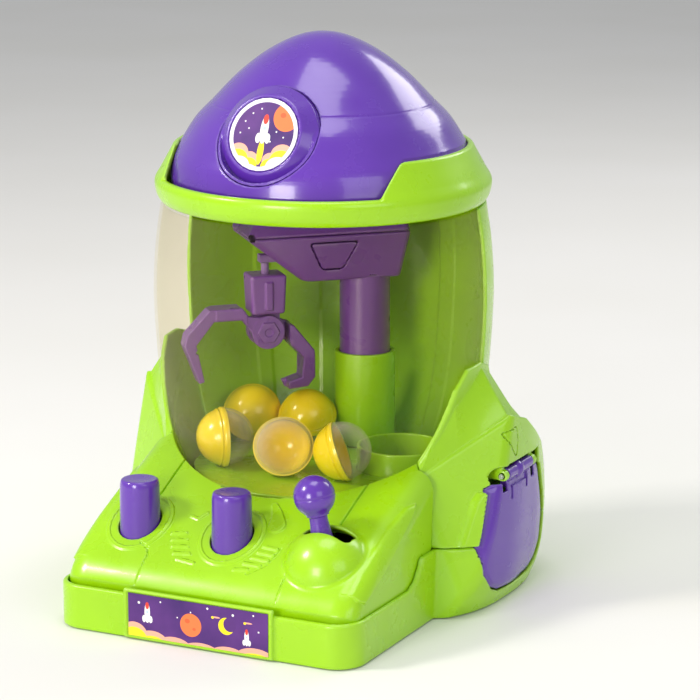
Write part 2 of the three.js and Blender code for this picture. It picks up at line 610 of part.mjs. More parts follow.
function swingLever() {
  const pitchR = (MODULE * PINION.sectorTeeth) / 2;
  const rootR = pitchR - 1.25 * MODULE;
  const step = (2 * Math.PI) / PINION.sectorTeeth;
  const rim = new THREE.Shape();
  const span = 6 * step;
  rim.absarc(0, 0, rootR, toColumn + SWING_REST - span, toColumn + SWING_REST + span, false);
  rim.absarc(0, 0, rootR - 6, toColumn + SWING_REST + span, toColumn + SWING_REST - span, true);
  const a = toColumn + SWING_REST;
  const arm = box(0, rootR - 3, -4, 4, PINION.z0, PINION.z1).rotateZ(a);
  // The sector's gaps stand opposite the pinion's teeth, so its own teeth sit half a step round
  const teeth = Array.from({ length: 11 }, (_, i) => {
    return tooth(pitchR, toColumn + (i - 2.5) * step, PINION.sectorTeeth, PINION.z0, PINION.z1);
  });
  const hub = rod(6.5, 13.4, PINION.z1, 0, 0, 20);
  const whole = add(plate(rim, PINION.z0, PINION.z1), arm, hub, ...teeth, frontFork());
  return placedSolid(cut(whole, rod(2.55, 0, 40, 0, 0, 16)), SWING_PIVOT.x, SWING_PIVOT.y, 0);
}

// The front end, low down, whose slot the joystick's tip runs in
function frontFork() {
  const lean = THREE.MathUtils.degToRad(-STICK.tilt);
  const tip = new THREE.Vector2(STICK.x + STICK.lowArm * Math.sin(lean), STICK.y).sub(SWING_PIVOT);
  const reach = tip.length() + 8;
  const angle = Math.atan2(tip.y, tip.x);
  const bar = box(0, reach - 20, -4, 4, 13.4, 17.4);
  const low = box(reach - 24, reach, -7, 7, 4.5, 10.5);
  const riser = box(reach - 26, reach - 20, -4, 4, 4.5, 17.4);
  const slot = box(reach - 20, reach - 2.5, -3.7, 3.7, 0, 30);
  return solid(geometryOf(cut(add(bar, low, riser), slot)).rotateZ(angle));
}

function gearBracket() {
  const deck = box(-21, 21, COLUMN.y - 17, COLUMN.y + 17, 12.9, 15.8);
  return cut(deck, rod(4.6, 0, 30, 0, COLUMN.y, 20));
}

function turnGear() {
  const pitchR = (MODULE * PINION.teeth) / 2;
  const step = (2 * Math.PI) / PINION.teeth;
  const toSector = toColumn + Math.PI;
  const teeth = Array.from({ length: PINION.teeth }, (_, i) => {
    return tooth(pitchR, toSector + i * step, PINION.teeth, PINION.z0, PINION.z1);
  });
  const core = rod(pitchR - 1.25 * MODULE, PINION.z0, PINION.z1, 0, 0, 28);
  const collar = rod(pitchR + 1.5, PINION.z1 + 0.45, 24, 0, 0, 24);
  const spigot = rod(4.2, 13.2, PINION.z0 + 1, 0, 0, 16);
  const shaft = rod(6.3, PINION.z1 - 1, 61, 0, 0, 6);
  const whole = cut(add(core, ...teeth, collar, spigot, shaft), rod(2.6, 0, 70, 0, 0, 16));
  return placedSolid(whole, 0, COLUMN.y, 0);
}

// Arm and claw, drawn with +X pointing out along the arm from the column's axis
const ROCKER = { x: ARM.length / 2, z: 175.3 };

function onArm(thing) {
  const geometry = thing.isBufferGeometry ? thing.clone() : geometryOf(thing);
  return placed(geometry.rotateZ(THREE.MathUtils.degToRad(ARM.angle - 90)), 0, COLUMN.y, 0);
}

// A box whose four sides slope, from a low rectangle [x0, x1, half width] to a high one
function flared(low, high, z0, z1) {
  const ring = ([x0, x1, w], z) => {
    return [[x0, -w], [x1, -w], [x1, w], [x0, w]].map(([x, y]) => new THREE.Vector3(x, y, z));
  };
  return loft([ring(low, z0), ring(high, z1)]);
}

function liftColumn() {
  const pipe = tube(COLUMN.r, COLUMN.bore, COLUMN.low, ARM.low + 6, 0, COLUMN.y, 28);
  const flange = rod(20, COLUMN.low, COLUMN.low + 2.6, 0, COLUMN.y, 28);
  const foot = add(flange, rod(COLUMN.bore + 1, COLUMN.low, 44, 0, COLUMN.y, 24));
  return cut(add(pipe, foot), rod(6.7, 20, 50, 0, COLUMN.y, 6));
}

const centreRod = () => rod(2.2, 7.6, 172.3, 0, COLUMN.y, 14);

function armShell() {
  const outer = flared([-17, 40, 15], [-21, 74, 22], ARM.low, 190);
  const inner = flared([-14.6, 37.6, 12.6], [-18.8, 72.2, 20.2], ARM.low + WALL, 191);
  const ear = ([a, b]) => box(ROCKER.x - 4, ROCKER.x + 4, a, b, ARM.low + 1, 180);
  const ears = [[-7.5, -4.2], [4.2, 7.5]].map(ear);
  const holes = [
    rod(COLUMN.r + 0.35, 150, 172, 0, 0, 28),
    box(ARM.length - 10.9, ARM.length + 10.9, -9.4, 9.4, 150, 186.4),
    box(ARM.length - 22, ARM.length, -3.8, 3.8, 164, 186),
    rodY(1.75, -12, 12, ROCKER.x, ROCKER.z, 12),
  ];
  return onArm(cut(add(cut(outer, inner), ...ears), ...holes));
}

function armCover() {
  const outer = flared([-21, 74, 22], [-17, 66, 17], 190.3, ARM.high);
  const inner = flared([-18.8, 71.8, 19.8], [-15, 64, 15], 189, ARM.high - WALL);
  return onArm(cut(outer, inner));
}

function clawRocker() {
  const bar = box(-3.5, ARM.length + 3.5, -3, 3, 173.2, 177.4);
  const hub = rodY(4, -3.8, 3.8, ROCKER.x, ROCKER.z, 16);
  return onArm(cut(add(bar, hub), rodY(1.75, -8, 8, ROCKER.x, ROCKER.z, 12)));
}

const rockerPin = () => onArm(rodY(1.4, -9, 9, ROCKER.x, ROCKER.z, 12));
const clawRod = () => onArm(rod(2.2, 148, 172.6, ARM.length, 0, 14));

function clawPost() {
  const x = ARM.length;
  const block = flared([x - 9.5, x + 9.5, 8.6], [x - 10.5, x + 10.5, 9], 144.5, 166.6);
  const tongue = add(box(x - 8, x + 8, -2.6, 2.6, CLAW_Z, 146), rodY(8, -2.6, 2.6, x, CLAW_Z, 20));
  return onArm(cut(add(block, tongue), rod(2.7, 142.4, 190, x, 0, 12), rodY(1.9, -20, 20, x, CLAW_Z, 12)));
}

const JAW_OUTER = [
  [0, 8], [11, 9.6], [15, 14.5], [34, 14.5], [47, 1], [48.5, -5],
  [40, -27], [37, -26], [41.5, -5], [31, 8], [15, 8], [6, -5],
];
const JAW_INNER = [
  [-3, 8], [-15, 3], [-27, -12], [-28, -28], [-24, -33.5], [-12.5, -34.6],
  [-10.5, -30.5], [-20, -27.5], [-20.5, -16], [-12, -7], [-4, -7],
];

// The inner jaw's blade narrows downwards, to its tip
function innerBlade() {
  return sidePlate([[-7.5, 118], [-7.5, 150], [7.5, 150], [7.5, 118], [3.4, 96], [-3.4, 96]], -60, -12.5);
}

// A jaw is a hooked plate that is wide beyond its hub and thin where the two hubs lie side by side
function jaw(outline, side, y0, y1, hexagon) {
  const points = outline.map(([x, z]) => [ARM.length + x, CLAW_Z + z]);
  const narrow = frontPlate(points, y0, y1);
  // Half widths beyond the hub: full at the elbow, narrow at the tip
  const plan = [
    [12.5, -7.5], [30, -7.5], [34, -2.2], [60, -2.2],
    [60, 4.4], [34, 4.4], [30, 7.5], [12.5, 7.5],
  ];
  const wedge = plate(shapeOf(plan), 60, 200);
  const blade = side > 0 ? wedge : innerBlade();
  const wide = common(frontPlate(points, -7.5, 7.5), placed(blade, ARM.length, 0, 0));
  const hub = rodY(9.6, y0, y1, ARM.length, CLAW_Z, 24);
  const bosses = hexagon ? [hub, rodY(6.4, y1 - 0.5, y1 + 1.3, ARM.length, CLAW_Z, 6)] : [hub];
  const whole = add(narrow, wide, ...bosses);
  return onArm(cut(whole, rodY(1.9, -20, y1 - (hexagon ? 2 : -20), ARM.length, CLAW_Z, 12)));
}

const jawPin = () => onArm(rodY(1.55, -9.5, 6.8, ARM.length, CLAW_Z, 12));

// Prize capsules: two cups that close on each other, the yellow one with a collar
function capsuleHalf([x, y, azimuth, rise, z = FLOOR_Z + BALL_R + 0.4], yellow) {
  const r = BALL_R;
  const arc = (radius, n) => Array.from({ length: n + 1 }, (_, i) => {
    const a = (Math.PI / 2) * (i / n);
    return [radius * Math.cos(a), radius * Math.sin(a)];
  });
  const outer = arc(r, 3).slice(1, -1);
  const inner = arc(r - 1.4, 2).slice(1, -1).reverse();
  const rim = yellow ? [[r - 1.4, 0.15], [r + 0.2, 0.15], [r + 0.2, 2.6]] : [[r - 1.4, 0.15], [r, 0.15]];
  const profile = [...rim, ...outer, [0, r], [0, r - 1.4], ...inner, rim[0]];
  const half = lathe(profile, 12);
  if (!yellow) half.rotateX(Math.PI);
  half.rotateX(THREE.MathUtils.degToRad(90 - rise)).rotateZ(THREE.MathUtils.degToRad(azimuth));
  return placed(half, x, y, z);
}

function screw([x, y]) {
  return add(rod(3.1, 0.4, 2.4, x, y, 10), rod(1.6, 2.3, 13, x, y, 8));
}

// The assembly
const machine = new THREE.Group();

function put(name, thing, finish) {
  const geometry = thing.isBufferGeometry ? thing : geometryOf(thing);
  const mesh = new THREE.Mesh(geometry, new THREE.MeshStandardMaterial(finish));
  mesh.name = name;
  machine.add(mesh);
}

put("lower_base", lowerBase(), GREEN);
put("bottom_cover", bottomCover(), GREEN);
put("control_deck", controlDeck(), GREEN);
put("left_wing", wing(-1), GREEN);
put("right_wing", wing(1), GREEN);
put("rear_shell", rearShell(), GREEN);
put("window", windowPane(), CLEAR);
put("roof_ring", roofRing(), GREEN);
put("roof_cap", roofCap(), PURPLE);
put("badge_boss", badgeBoss(), PURPLE);
put("badge_sticker", badgeSticker(), PAPER);
put("front_sticker", frontSticker(), PAPER);
put("pit_floor", pitFloor(), GREEN);
put("column_sleeve", columnSleeve(), GREEN);
put("chute_cup", chuteCup(), GREEN);
put("exit_bin", exitBin(), GREEN);
put("prize_door", prizeDoor(), PURPLE);
put("door_pin", doorPin(), STEEL);
put("lift_button", button(LIFT_BUTTON), PURPLE);
put("claw_button", button(CLAW_BUTTON), PURPLE);
put("lift_spring", spring(LIFT_BUTTON.x + 2.4, -96, 3.4, 23.2), STEEL);
put("claw_spring", spring(0, -96, 3.4, 18.2), STEEL);
put("joystick", joystick(), PURPLE);
put("joystick_pin", joystickPin(), STEEL);
put("lift_lever", liftLever(), PURPLE);
put("lift_lever_pin", rodX(1.4, -63.5, -44.5, -45, 27.5, 12), STEEL);
put("claw_lever", clawLever(), PURPLE);
put("claw_lever_pin", rodX(1.4, -10, 10, 4.8, 11, 12), STEEL);
put("swing_lever", swingLever(), PURPLE);
put("swing_pin", rod(1.9, 3, 24, SWING_PIVOT.x, SWING_PIVOT.y, 12), STEEL);
put("gear_bracket", gearBracket(), GREEN);
put("turn_gear", turnGear(), PURPLE);
put("lift_column", liftColumn(), PURPLE);
put("centre_rod", centreRod(), STEEL);
put("arm_shell", armShell(), PURPLE);
put("arm_cover", armCover(), PURPLE);
put("claw_rocker", clawRocker(), PURPLE);
put("rocker_pin", rockerPin(), STEEL);
put("claw_rod", clawRod(), STEEL);
put("claw_post", clawPost(), PURPLE);
put("jaw_outer", jaw(JAW_OUTER, 1, -9, -2.9, false), PURPLE);
put("jaw_inner", jaw(JAW_INNER, -1, 2.9, 9, true), PURPLE);
put("jaw_pin", jawPin(), STEEL);
BALLS.forEach((ball, i) => {
  put(`ball_${i + 1}_yellow`, capsuleHalf(ball, true), YELLOW);
  put(`ball_${i + 1}_clear`, capsuleHalf(ball, false), CLEAR);
});
screwPlaces.forEach((place, i) => put(`base_screw_${i + 1}`, screw(place), STEEL));

export default machine;
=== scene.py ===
import math

import bpy
import numpy as np
from mathutils import Matrix, Vector


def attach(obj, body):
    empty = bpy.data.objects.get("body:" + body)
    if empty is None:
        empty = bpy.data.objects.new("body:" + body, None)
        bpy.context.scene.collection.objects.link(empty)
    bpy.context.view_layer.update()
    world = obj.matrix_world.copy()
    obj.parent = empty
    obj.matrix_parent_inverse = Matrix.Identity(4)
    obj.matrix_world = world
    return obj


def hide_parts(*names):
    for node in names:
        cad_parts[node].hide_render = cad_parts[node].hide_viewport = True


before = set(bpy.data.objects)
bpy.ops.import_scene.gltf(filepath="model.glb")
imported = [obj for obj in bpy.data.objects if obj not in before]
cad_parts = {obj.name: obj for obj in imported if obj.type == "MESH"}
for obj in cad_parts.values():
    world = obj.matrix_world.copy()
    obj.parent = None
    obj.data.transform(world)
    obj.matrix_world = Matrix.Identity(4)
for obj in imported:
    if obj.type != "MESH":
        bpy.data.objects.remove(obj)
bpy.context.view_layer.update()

MM = 0.001
CELL = 0.9
COARSE = 1.0

# Driving dimensions, the same as the frame's
WALL = 2.4
SEAM_Z = 38
FLOOR_Z = 65
WINDOW_TOP = 214
WINDOW_HALF_SPAN = math.radians(96)
BARREL = [(56, 73), (66, 76.6), (80, 82.3), (110, 89.4), (140, 92.3), (168, 93.2), (195, 91.4), (216, 88.3)]
# The body's outline at each height: z, half width, half depth, squareness and the y of its centre
BODY = [
    (0, 108, 86, 2.7, 12),
    (10, 112, 88, 2.8, 11),
    (38, 115, 90, 3, 10),
    (60, 115, 89, 3, 10),
    (85, 114.5, 85, 2.8, 10),
    (112, 114, 80, 2.6, 10),
]
TRAY_HALF, TRAY_FRONT, TRAY_CORNER = 89, -145, 16
DECK_RISE, DECK_Y, DECK_Z = 0.44, -124.1, 45.3
# Buttons: x, y, radius and top
CLAW_BUTTON = (0, -107.5, 11, 75.5)
LIFT_BUTTON = (-56.4, -106.6, 11, 75.5)
STICK_X, STICK_Y, STICK_Z, STICK_TILT, DOME_R = 56.4, -106.6, 39.5, -16, 24
STICK_BEND = 4.5
COLUMN_Y, COLUMN_R, SLEEVE_R, SLEEVE_TOP = 51.6, 14.3, 17.2, 119
ARM_ANGLE, ARM_LENGTH, ARM_LOW, ARM_HIGH, CLAW_Z = -46.5, 58.6, 163, 202, 134
# The prize chute: x, y, radius and top
CHUTE = (42.5, 11.2, 24.8, 77.8)
DOOR_X, DOOR_Y, DOOR_Z, EAR_Y = 112, 11, 73, 18.5
DOOR_HALF = [(26, 69.5), (30, 67.5), (35.4, 52), (40.3, 37), (38.9, 22.7), (29.4, 12.6), (20, 9), (0, 8)]
DOOR_OUTLINE = [(DOOR_Y + y, z) for y, z in DOOR_HALF] + [(DOOR_Y - y, z) for y, z in DOOR_HALF[-2::-1]]


# Distance fields: p is an (n, 3) array in millimetres, and the result is negative inside
def length(*parts):
    return np.sqrt(sum(a * a for a in parts))


def join(a, b, r=0.0):
    if r <= 0:
        return np.minimum(a, b)
    return np.maximum(r, np.minimum(a, b)) - length(np.maximum(r - a, 0), np.maximum(r - b, 0))


def both(a, b, r=0.0):
    if r <= 0:
        return np.maximum(a, b)
    return np.minimum(-r, np.maximum(a, b)) + length(np.maximum(r + a, 0), np.maximum(r + b, 0))


def minus(a, b, r=0.0):
    return both(a, -b, r)


def box(p, low, high, r=0.0):
    low, high = np.asarray(low, float), np.asarray(high, float)
    q = np.abs(p - (low + high) / 2) - ((high - low) / 2 - r)
    return length(*np.maximum(q, 0).T) + np.minimum(q.max(1), 0) - r


def rod(p, r, low, high, x=0.0, y=0.0, axis=2, edge=0.0):
    u, v = [a for a in range(3) if a != axis]
    side = length(p[:, u] - x, p[:, v] - y) - r
    w = p[:, axis]
    return both(side, np.maximum(low - w, w - high), edge)


def polygon(u, v, points):
    pts = np.asarray(points, float)
    best = np.full(u.shape, 1e18)
    sign = np.ones(u.shape)
    for (ax, ay), (bx, by) in zip(pts, np.roll(pts, 1, axis=0)):
        ex, ey = bx - ax, by - ay
        wx, wy = u - ax, v - ay
        t = np.clip((wx * ex + wy * ey) / (ex * ex + ey * ey), 0, 1)
        best = np.minimum(best, (wx - ex * t) ** 2 + (wy - ey * t) ** 2)
        a, b, c = v >= ay, v < by, ex * wy > ey * wx
        sign = np.where((a & b & c) | ~(a | b | c), -sign, sign)
    return sign * np.sqrt(best)


def slab(w, low, high):
    return np.maximum(low - w, w - high)


def turned(p, points):
    return polygon(length(p[:, 0], p[:, 1]), p[:, 2], points)


# A smooth curve through the rows of a table, read at any first value
def smooth_table(rows, column):
    keys = np.array([r[0] for r in rows], float)
    values = np.array([r[column] for r in rows], float)
    slopes = np.gradient(values, keys)
    fine = np.linspace(keys[0], keys[-1], 400)
    k = np.clip(np.searchsorted(keys, fine, side="right") - 1, 0, len(keys) - 2)
    step = keys[k + 1] - keys[k]
    t = (fine - keys[k]) / step
    h = (2 * t**3 - 3 * t**2 + 1) * values[k] + (t**3 - 2 * t**2 + t) * step * slopes[k]
    h += (-2 * t**3 + 3 * t**2) * values[k + 1] + (t**3 - t**2) * step * slopes[k + 1]
    return fine, h


BARREL_TABLE = smooth_table(BARREL, 1)
BODY_TABLES = [smooth_table(BODY, c) for c in range(1, 5)]


def barrel_radius(z):
    return np.interp(z, *BARREL_TABLE)


def barrel(p, extra=0.0):
    z = p[:, 2]
    slope = (barrel_radius(z + 0.5) - barrel_radius(z - 0.5)) / 1.0
    return (length(p[:, 0], p[:, 1]) - barrel_radius(z) - extra) / np.sqrt(1 + slope * slope)


# The body's front has two flat faces on each side, which meet at KNEE
def unit(x, y, z):
    return np.array([x, y, z]) / math.sqrt(x**2 + y**2 + z**2)


KNEE = np.array([77.6, -41.4, 76.5])
FRONT_FACE = unit(0.225, -0.971, 0.082)
CHEEK_FACE = unit(0.63, -0.736, 0.2485)


def flat_face(p, normal):
    mirrored = np.column_stack([np.abs(p[:, 0]), p[:, 1], p[:, 2]])
    return (mirrored - KNEE) @ normal


def body(p, inset=0.0):
    flats = both(flat_face(p, FRONT_FACE), flat_face(p, CHEEK_FACE), 1.5) + inset
    return both(loft(p, inset), flats, 3)


def loft(p, inset=0.0):
    z = p[:, 2]
    rx, ry, n, cy = [np.interp(z, *t) for t in BODY_TABLES]
    u, v = np.abs(p[:, 0]) / (rx - inset), np.abs(p[:, 1] - cy) / (ry - inset)
    s = np.maximum((u**n + v**n) ** (1 / n), 0.3)
    grade = s ** (1 - n) * length(u ** (n - 1) / (rx - inset), v ** (n - 1) / (ry - inset))
    return (s - 1) / np.maximum(grade, 0.004)


def rounded_rectangle(p, half, y0, y1, corner):
    q0 = np.abs(p[:, 0]) - (half - corner)
    q1 = np.abs(p[:, 1] - (y0 + y1) / 2) - ((y1 - y0) / 2 - corner)
    return length(np.maximum(q0, 0), np.maximum(q1, 0)) + np.minimum(np.maximum(q0, q1), 0) - corner


def tray(p, inset=0.0):
    return rounded_rectangle(p, TRAY_HALF - inset, TRAY_FRONT + inset, 40, TRAY_CORNER - inset * 0.8)


# The upright plane where the deck meets a wing: positive outside it, on both sides of the machine
def beyond_deck(p):
    along = np.array([-18.4, 26.6]) / math.hypot(18.4, 26.6)
    return (np.abs(p[:, 0]) - KNEE[0]) * along[1] - (p[:, 1] - KNEE[1]) * along[0]


def wedge(p, half_angle):
    """Negative within half_angle of the front, about the upright axis."""
    x, y = np.abs(p[:, 0]), -p[:, 1]
    side = x * math.cos(half_angle) - y * math.sin(half_angle)
    return side if half_angle > math.pi / 2 else np.where(y < 0, length(x, y), side)


# From a field to a mesh: sampled in blocks near the surface, then one vertex for each cell it crosses
BLOCK = 8
CORNERS = np.array([(i, j, k) for i in (0, 1) for j in (0, 1) for k in (0, 1)])
EDGES = [(a, b) for a in range(8) for b in range(a + 1, 8) if abs(CORNERS[a] - CORNERS[b]).sum() == 1]


def sample(field, low, blocks, h):
    index = np.stack(np.meshgrid(*[np.arange(n) for n in blocks], indexing="ij"), -1).reshape(-1, 3)
    centre = low + (index * BLOCK + BLOCK / 2) * h
    at_centre = field(centre)
    shape = tuple(blocks)
    grid = np.repeat(np.repeat(np.repeat(at_centre.reshape(shape), BLOCK, 0), BLOCK, 1), BLOCK, 2)
    near = index[np.abs(at_centre) < BLOCK * h * 0.87 * 1.3 + h]
    cell = np.stack(np.meshgrid(*[np.arange(BLOCK)] * 3, indexing="ij"), -1).reshape(-1, 3)
    for start in range(0, len(near), 600):
        spots = (near[start : start + 600, None] * BLOCK + cell[None]).reshape(-1, 3)
        grid[tuple(spots.T)] = field(low + spots * h)
    return grid


def crossings(grid):
    inside = grid < 0
    n = [s - 1 for s in inside.shape]
    views = [inside[i : n[0] + i, j : n[1] + j, k : n[2] + k] for i, j, k in CORNERS]
    active = np.logical_or.reduce(views) & ~np.logical_and.reduce(views)
    cells = np.stack(np.nonzero(active), 1)
    values = np.stack([grid[tuple((cells + c).T)] for c in CORNERS], 1)
    total, count = np.zeros((len(cells), 3)), np.zeros(len(cells))
    for a, b in EDGES:
        cut = (values[:, a] < 0) != (values[:, b] < 0)
        t = np.where(cut, values[:, a] / np.where(cut, values[:, a] - values[:, b], 1), 0)
        total += cut[:, None] * (CORNERS[a] + t[:, None] * (CORNERS[b] - CORNERS[a]))
        count += cut
    return inside, active, cells, cells + total / count[:, None]


def quads_of(inside, active, count):
    ids = np.full(active.shape, -1, np.int64)
    ids[active] = np.arange(count)
    faces = []
    for axis in range(3):
        u, w = [(axis + 1) % 3, (axis + 2) % 3]
        first, second = [slice(None)] * 3, [slice(None)] * 3
        first[axis], second[axis] = slice(0, -1), slice(1, None)
        for other in (u, w):
            first[other] = second[other] = slice(1, -1)
        out = inside[tuple(first)] & ~inside[tuple(second)]
        into = ~inside[tuple(first)] & inside[tuple(second)]
        for mask, turn in ((out, 1), (into, -1)):
            spot = np.stack(np.nonzero(mask), 1)
            spot[:, u] += 1
            spot[:, w] += 1
            du, dw = np.eye(3, dtype=int)[u], np.eye(3, dtype=int)[w]
            ring = [ids[tuple(q.T)] for q in (spot, spot - du, spot - du - dw, spot - dw)]
            faces.append(np.stack(ring[::turn], 1))
    return np.concatenate(faces)


def gradient(field, v, e=0.06):
    g = [field(v + d) - field(v - d) for d in np.eye(3) * e]
    return np.stack(g, 1) / (2 * e)


def settle(field, v, h, rounds=3):
    for _ in range(rounds):
        g = gradient(field, v)
        step = field(v) / np.maximum((g * g).sum(1), 0.2)
        v = v - g * np.clip(step, -h, h)[:, None]
    return v


def islands(count, edges):
    label = np.arange(count)
    while True:
        low = np.minimum(label[edges[:, 0]], label[edges[:, 1]])
        new = label.copy()
        np.minimum.at(new, label[edges[:, 0]], low)
        np.minimum.at(new, label[edges[:, 1]], low)
        new = new[new]
        if (new == label).all():
            return label
        label = new


# Drops the specks that a field can leave, and keeps each piece of more than a few faces
def without_specks(v, faces, least=60):
    edges = np.concatenate([faces[:, [0, 1]], faces[:, [1, 2]], faces[:, [2, 3]]])
    label = islands(len(v), edges)
    sizes = np.bincount(label[faces[:, 0]], minlength=len(v))
    faces = faces[sizes[label[faces[:, 0]]] >= least]
    used = np.unique(faces)
    renumber = np.full(len(v), -1)
    renumber[used] = np.arange(len(used))
    return v[used], renumber[faces]


def mesh_object(name, v, faces):
    """faces is an (n, 3) or (n, 4) array, or a list of tuples; v is in millimetres."""
    mesh = bpy.data.meshes.new(name)
    if isinstance(faces, np.ndarray):
        sides = faces.shape[1]
        mesh.vertices.add(len(v))
        mesh.vertices.foreach_set("co", (np.asarray(v) * MM).astype(np.float32).ravel())
        mesh.loops.add(faces.size)
        mesh.loops.foreach_set("vertex_index", faces.astype(np.int32).ravel())
        mesh.polygons.add(len(faces))
        mesh.polygons.foreach_set("loop_start", np.arange(0, faces.size, sides, dtype=np.int32))
        mesh.update(calc_edges=True)
    else:
        mesh.from_pydata([tuple(np.asarray(p) * MM) for p in v], [], faces)
    mesh.polygons.foreach_set("use_smooth", np.full(len(mesh.polygons), True))
    obj = bpy.data.objects.new(name, mesh)
    bpy.context.scene.collection.objects.link(obj)
    return obj


def applied(obj):
    """Leaves obj with its modifiers' result as its mesh."""
    bpy.context.view_layer.update()
    shown = obj.evaluated_get(bpy.context.evaluated_depsgraph_get())
    mesh = bpy.data.meshes.new_from_object(shown)
    obj.modifiers.clear()
    obj.data = mesh
    return obj


def thinned(obj, keep):
    if keep < 1:
        obj.modifiers.new("Thin", "DECIMATE").ratio = keep
        applied(obj)
    return obj


def grown(name, field, low, high, cell=CELL, keep=0.5):
    """The surface of field inside the box from low to high, as an object with the field's own normals."""
    h = cell * COARSE
    low = np.asarray(low, float) - 2.37 * h
    blocks = np.ceil((np.asarray(high, float) + 2 * h - low) / (h * BLOCK)).astype(int)
    inside, active, cells, spots = crossings(sample(field, low, blocks, h))
    faces = quads_of(inside, active, len(cells))
    v, faces = without_specks(settle(field, low + spots * h, h), faces)
    obj = thinned(mesh_object(name, v, faces), keep)
    mesh = obj.data
    co = np.zeros(len(mesh.vertices) * 3, np.float32)
    mesh.vertices.foreach_get("co", co)
    g = gradient(field, co.reshape(-1, 3).astype(float) / MM, 0.15)
    g /= np.maximum(np.linalg.norm(g, axis=1), 1e-6)[:, None]
    mesh.normals_split_custom_set_from_vertices(g.tolist())
    return obj


def spun(name, profile, sides=96, at=(0, 0, 0)):
    """A closed profile of (radius, height) points, turned about an upright axis."""
    pts = np.asarray(profile, float)
    angle = np.linspace(0, 2 * math.pi, sides, endpoint=False)
    v, rings = [], []
    for r, z in pts:
        if r < 1e-6:
            rings.append([len(v)] * sides)
            v.append((at[0], at[1], at[2] + z))
            continue
        rings.append(list(range(len(v), len(v) + sides)))
        v.extend((at[0] + r * math.cos(a), at[1] + r * math.sin(a), at[2] + z) for a in angle)
    faces = []
    for low, high in zip(rings, rings[1:] + rings[:1]):
        if low[0] == low[1] and high[0] == high[1]:
            continue
        for i in range(sides):
            j = (i + 1) % sides
            ring = [low[i], low[j], high[j], high[i]]
            faces.append(tuple(dict.fromkeys(ring)))
    obj = mesh_object(name, v, faces)
    obj.data.set_sharp_from_angle(angle=math.radians(50))
    return obj


def rounded(profile, radius, steps=4):
    """A closed profile with each corner off the axis turned into a small arc."""
    pts = [np.asarray(p, float) for p in profile]
    result = []
    for i, p in enumerate(pts):
        a, b = pts[i - 1] - p, pts[(i + 1) % len(pts)] - p
        la, lb = np.linalg.norm(a), np.linalg.norm(b)
        if p[0] < 1e-6 or min(la, lb) < 1e-6:
            result.append(p)
            continue
        reach = min(radius, la * 0.45, lb * 0.45)
        start, end = p + a / la * reach, p + b / lb * reach
        for t in np.linspace(0, 1, steps + 1):
            result.append((1 - t) ** 2 * start + 2 * t * (1 - t) * p + t * t * end)
    return result


# Materials
def node(tree, kind, **values):
    made = tree.nodes.new(kind)
    for key, value in values.items():
        if hasattr(made, key):
            setattr(made, key, value)
    return made


def set_inputs(made, **values):
    for key, value in values.items():
        made.inputs[key.replace("_", " ")].default_value = value


def noise(tree, place, scale, detail=3.0):
    made = node(tree, "ShaderNodeTexNoise")
    made.inputs["Scale"].default_value = scale
    made.inputs["Detail"].default_value = detail
    tree.links.new(place.outputs["Object"], made.inputs["Vector"])
    return made.outputs["Fac"]


def spread(tree, value, low, high, from_low=0.3, from_high=0.7):
    made = node(tree, "ShaderNodeMapRange")
    tree.links.new(value, made.inputs["Value"])
    for key, number in (("From Min", from_low), ("From Max", from_high), ("To Min", low), ("To Max", high)):
        made.inputs[key].default_value = number
    return made.outputs["Result"]


def mixed(tree, share, a, b):
    """a or b is a colour or a socket; share is a number or a socket."""
    made = node(tree, "ShaderNodeMix", data_type="RGBA")
    for key, value in ((0, share), (6, a), (7, b)):
        if isinstance(value, bpy.types.NodeSocket):
            tree.links.new(value, made.inputs[key])
        else:
            made.inputs[key].default_value = value if key == 0 else (*value, 1)
    return made.outputs[2]


def start_material(name):
    material = bpy.data.materials.new(name)
    material.use_nodes = True
    tree = material.node_tree
    return material, tree, tree.nodes["Principled BSDF"], node(tree, "ShaderNodeTexCoord")


def plastic(name, colour, deep, roughness=0.24, grain=0.05, coat=0.35, glow=0.0):
    """Glossy moulded plastic: flow variation in its colour, a fine moulded skin, and paler rubbed edges."""
    material, tree, shader, place = start_material(name)
    flow = spread(tree, noise(tree, place, 14, 4), 0, 1, 0.35, 0.65)
    tone = mixed(tree, flow, deep, colour)
    edge = spread(tree, node(tree, "ShaderNodeNewGeometry").outputs["Pointiness"], 0, 0.35, 0.52, 0.6)
    pale = tuple(c + (1 - c) * 0.25 for c in colour)
    tree.links.new(mixed(tree, edge, tone, pale), shader.inputs["Base Color"])
    skin = noise(tree, place, 900, 2)
    waves = noise(tree, place, 45, 2)
    rough = spread(tree, noise(tree, place, 60, 5), roughness * 0.8, roughness * 1.35)
    tree.links.new(rough, shader.inputs["Roughness"])
    fine = node(tree, "ShaderNodeBump")
    set_inputs(fine, Strength=grain, Distance=0.0002)
    tree.links.new(skin, fine.inputs["Height"])
    broad = node(tree, "ShaderNodeBump")
    set_inputs(broad, Strength=0.06, Distance=0.001)
    tree.links.new(waves, broad.inputs["Height"])
    tree.links.new(fine.outputs["Normal"], broad.inputs["Normal"])
    tree.links.new(broad.outputs["Normal"], shader.inputs["Normal"])
    shader.inputs["Coat Weight"].default_value = coat
    shader.inputs["Coat Roughness"].default_value = 0.08
    shader.inputs["Specular IOR Level"].default_value = 0.5
    shader.inputs["Subsurface Weight"].default_value = glow
    shader.inputs["Subsurface Radius"].default_value = (0.004, 0.003, 0.001)
    shader.inputs["Subsurface Scale"].default_value = 1.0
    return material


